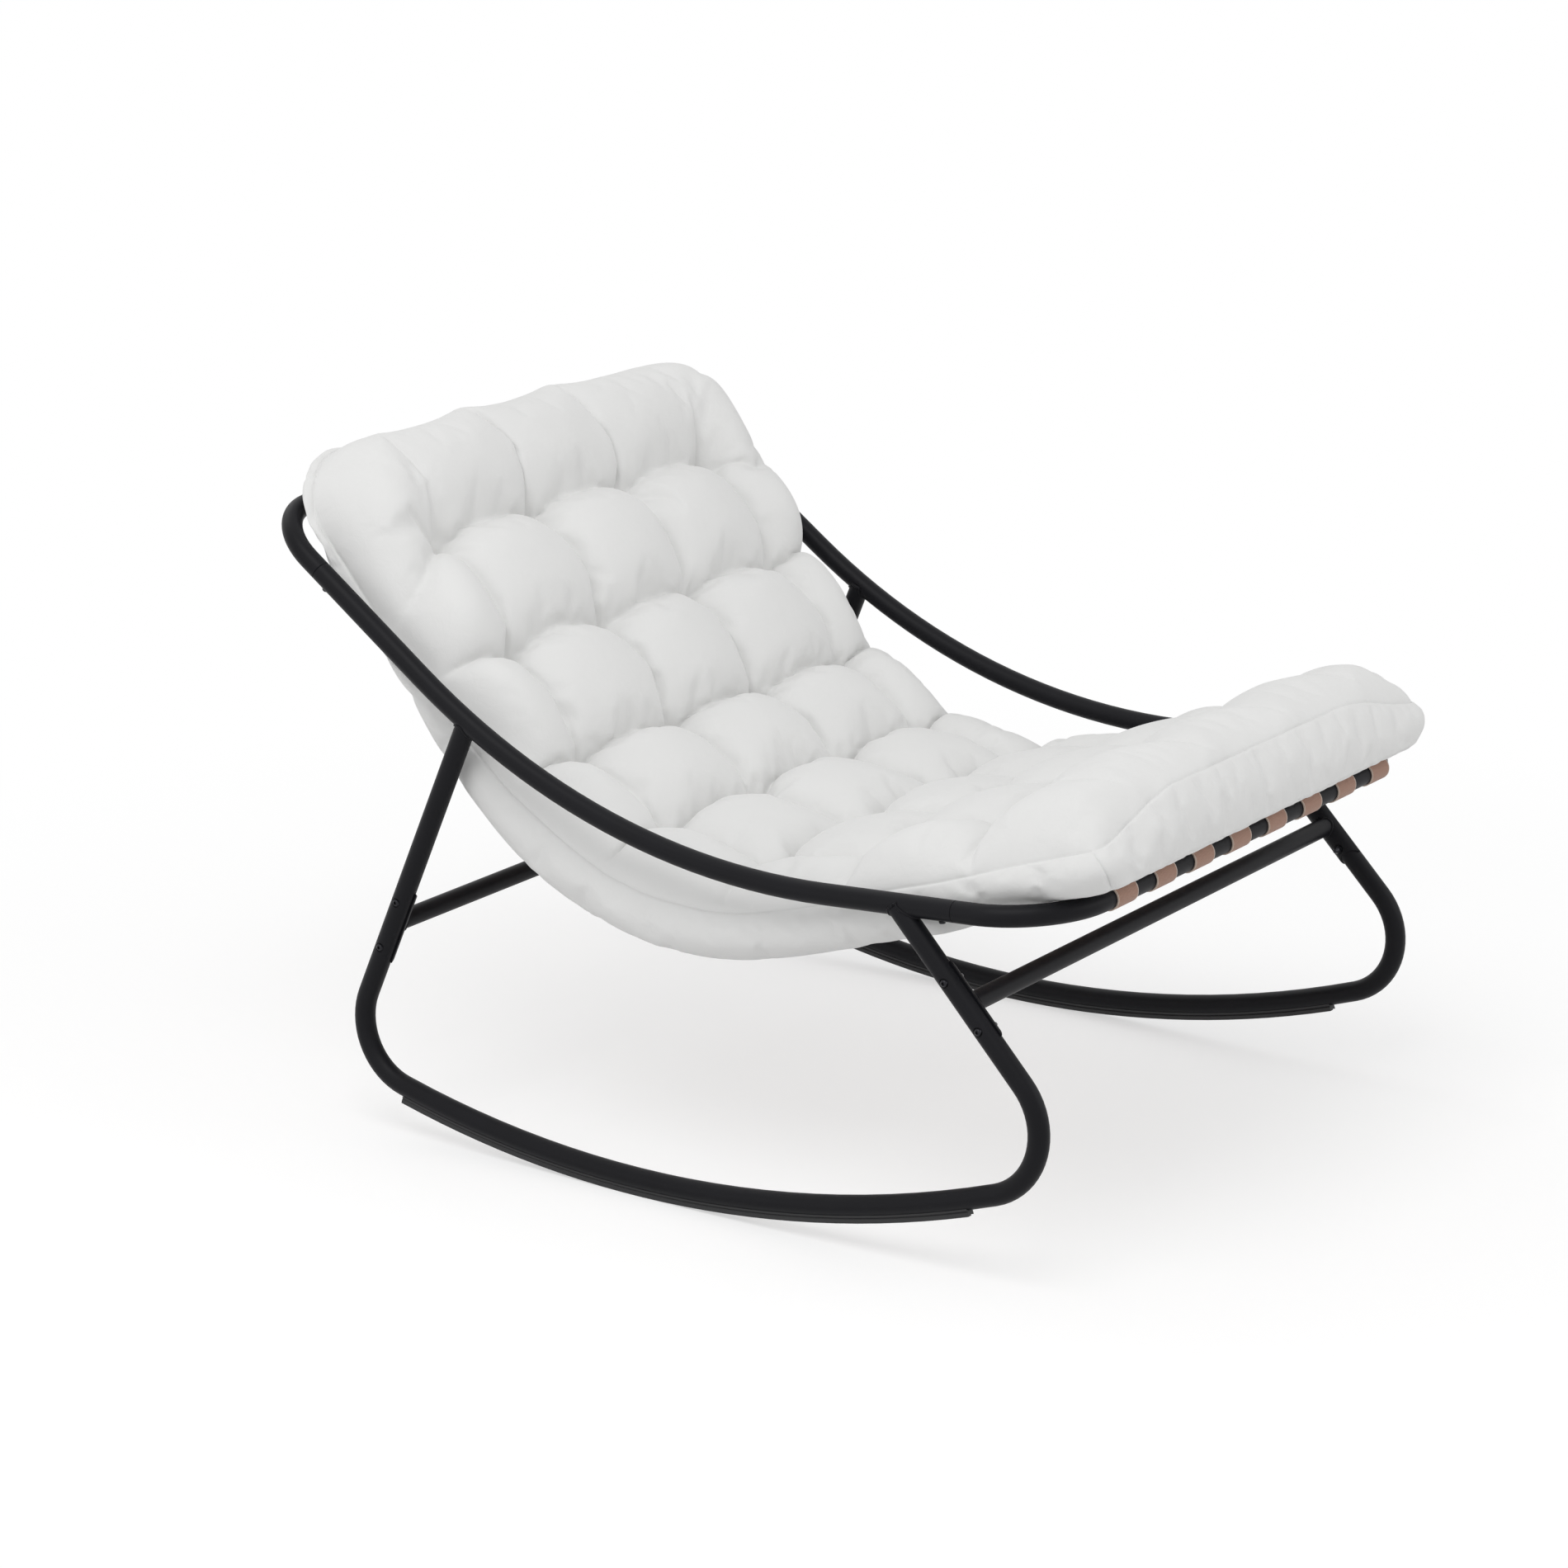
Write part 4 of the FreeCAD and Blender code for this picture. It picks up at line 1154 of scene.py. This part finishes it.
    def sew(self, made: Object) -> None:
        """Draw the boxing's seams in: a narrow strip along each, with its middle sunk.

        Args:
            made: the cover, whose mesh is changed.
        """
        shape = bmesh.new()
        shape.from_mesh(made.data)
        shape.normal_update()
        sewn = shape.edges.layers.int["sewn_line"]
        lines = [edge for edge in shape.edges if edge[sewn]]
        places = [(vert.co.copy(), vert.normal.copy()) for edge in lines for vert in edge.verts]
        tree = KDTree(len(places))
        for index, (place, _) in enumerate(places):
            tree.insert(place, index)
        tree.balance()
        strip = bmesh.ops.bevel(shape, geom=lines, offset=self.seam_width, offset_type="OFFSET", segments=2,
                                profile=0.5, affect="EDGES", material=-1, clamp_overlap=True)
        sunk = set()
        for vert in strip["verts"]:
            _, index, distance = tree.find(vert.co)
            if distance < self.seam_width * self.seam_near:
                vert.co -= places[index][1] * self.seam_groove
                sunk.add(vert)
        crease = shape.edges.layers.float.new("crease_edge")
        for edge in shape.edges:
            if edge.verts[0] in sunk and edge.verts[1] in sunk:
                edge[crease] = self.seam_crease
        for face in shape.faces:
            face.smooth = True
        shape.to_mesh(made.data)
        shape.free()

    # Stuffing

    def inflate(self, made: Object) -> None:
        """Blow the cover up as cloth, cap how far it moves, and keep the result in the mesh.

        Args:
            made: the cover, whose mesh is changed.
        """
        start = [vert.co.copy() for vert in made.data.vertices]
        cloth = made.modifiers.new("stuffing", "CLOTH")
        settings = cloth.settings
        settings.quality = self.quality
        settings.use_pressure = True
        settings.uniform_pressure_force = self.pressure
        settings.effector_weights.gravity = 0.0
        settings.vertex_group_mass = "held"
        settings.mass = self.point_mass
        settings.vertex_group_shrink = "taut"
        settings.shrink_min = -self.spare_cloth
        settings.shrink_max = -self.boxing_ease
        settings.tension_stiffness = self.tension
        settings.compression_stiffness = self.tension
        settings.bending_stiffness = self.bending
        scene = bpy.context.scene
        scene.frame_start = 1
        scene.frame_end = self.frames
        for number in range(1, self.frames + 1):
            scene.frame_set(number)
        blown = made.evaluated_get(bpy.context.evaluated_depsgraph_get()).data
        moved = [vert.co.copy() for vert in blown.vertices]
        made.modifiers.remove(cloth)
        scene.frame_set(1)
        far = 0.0
        for vert, old, new in zip(made.data.vertices, start, moved):
            step = new - old
            far = max(far, step.length)
            if step.length > self.cap:
                step *= self.cap / step.length
            vert.co = old + step
        log.info("stuffing moved the cover by up to %.1f mm", far / MM)


def dress_frame(finishes: dict[Slot, Material]) -> None:
    """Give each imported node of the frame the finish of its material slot."""
    slots = {part["node"]: Slot(part["material_slot"]) for part in frame["record"]["subparts"]}
    for name, node in frame["nodes"].items():
        finish = finishes.get(slots[name])
        if finish:
            node.data.materials.clear()
            node.data.materials.append(finish)


def main() -> None:
    """Build the studio and the chair in order."""
    PhotoCamera().build()
    Studio().build()
    sling = Sling()
    straps = Straps(sling)
    coat = PowderCoat().material()
    zinc = BlackZinc().material()
    strip = MouldedStrip().material()
    webbing = Webbing(straps.width).material()
    canvas = Canvas().material()
    dress_frame({Slot.COAT: coat, Slot.ZINC: zinc, Slot.STRIP: strip})
    straps.build(webbing)
    Stitches(straps).build(Thread().material())
    Welds().build(coat)
    Cushion(sling).build(canvas)
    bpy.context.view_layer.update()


if __name__ == "__main__":
    main()
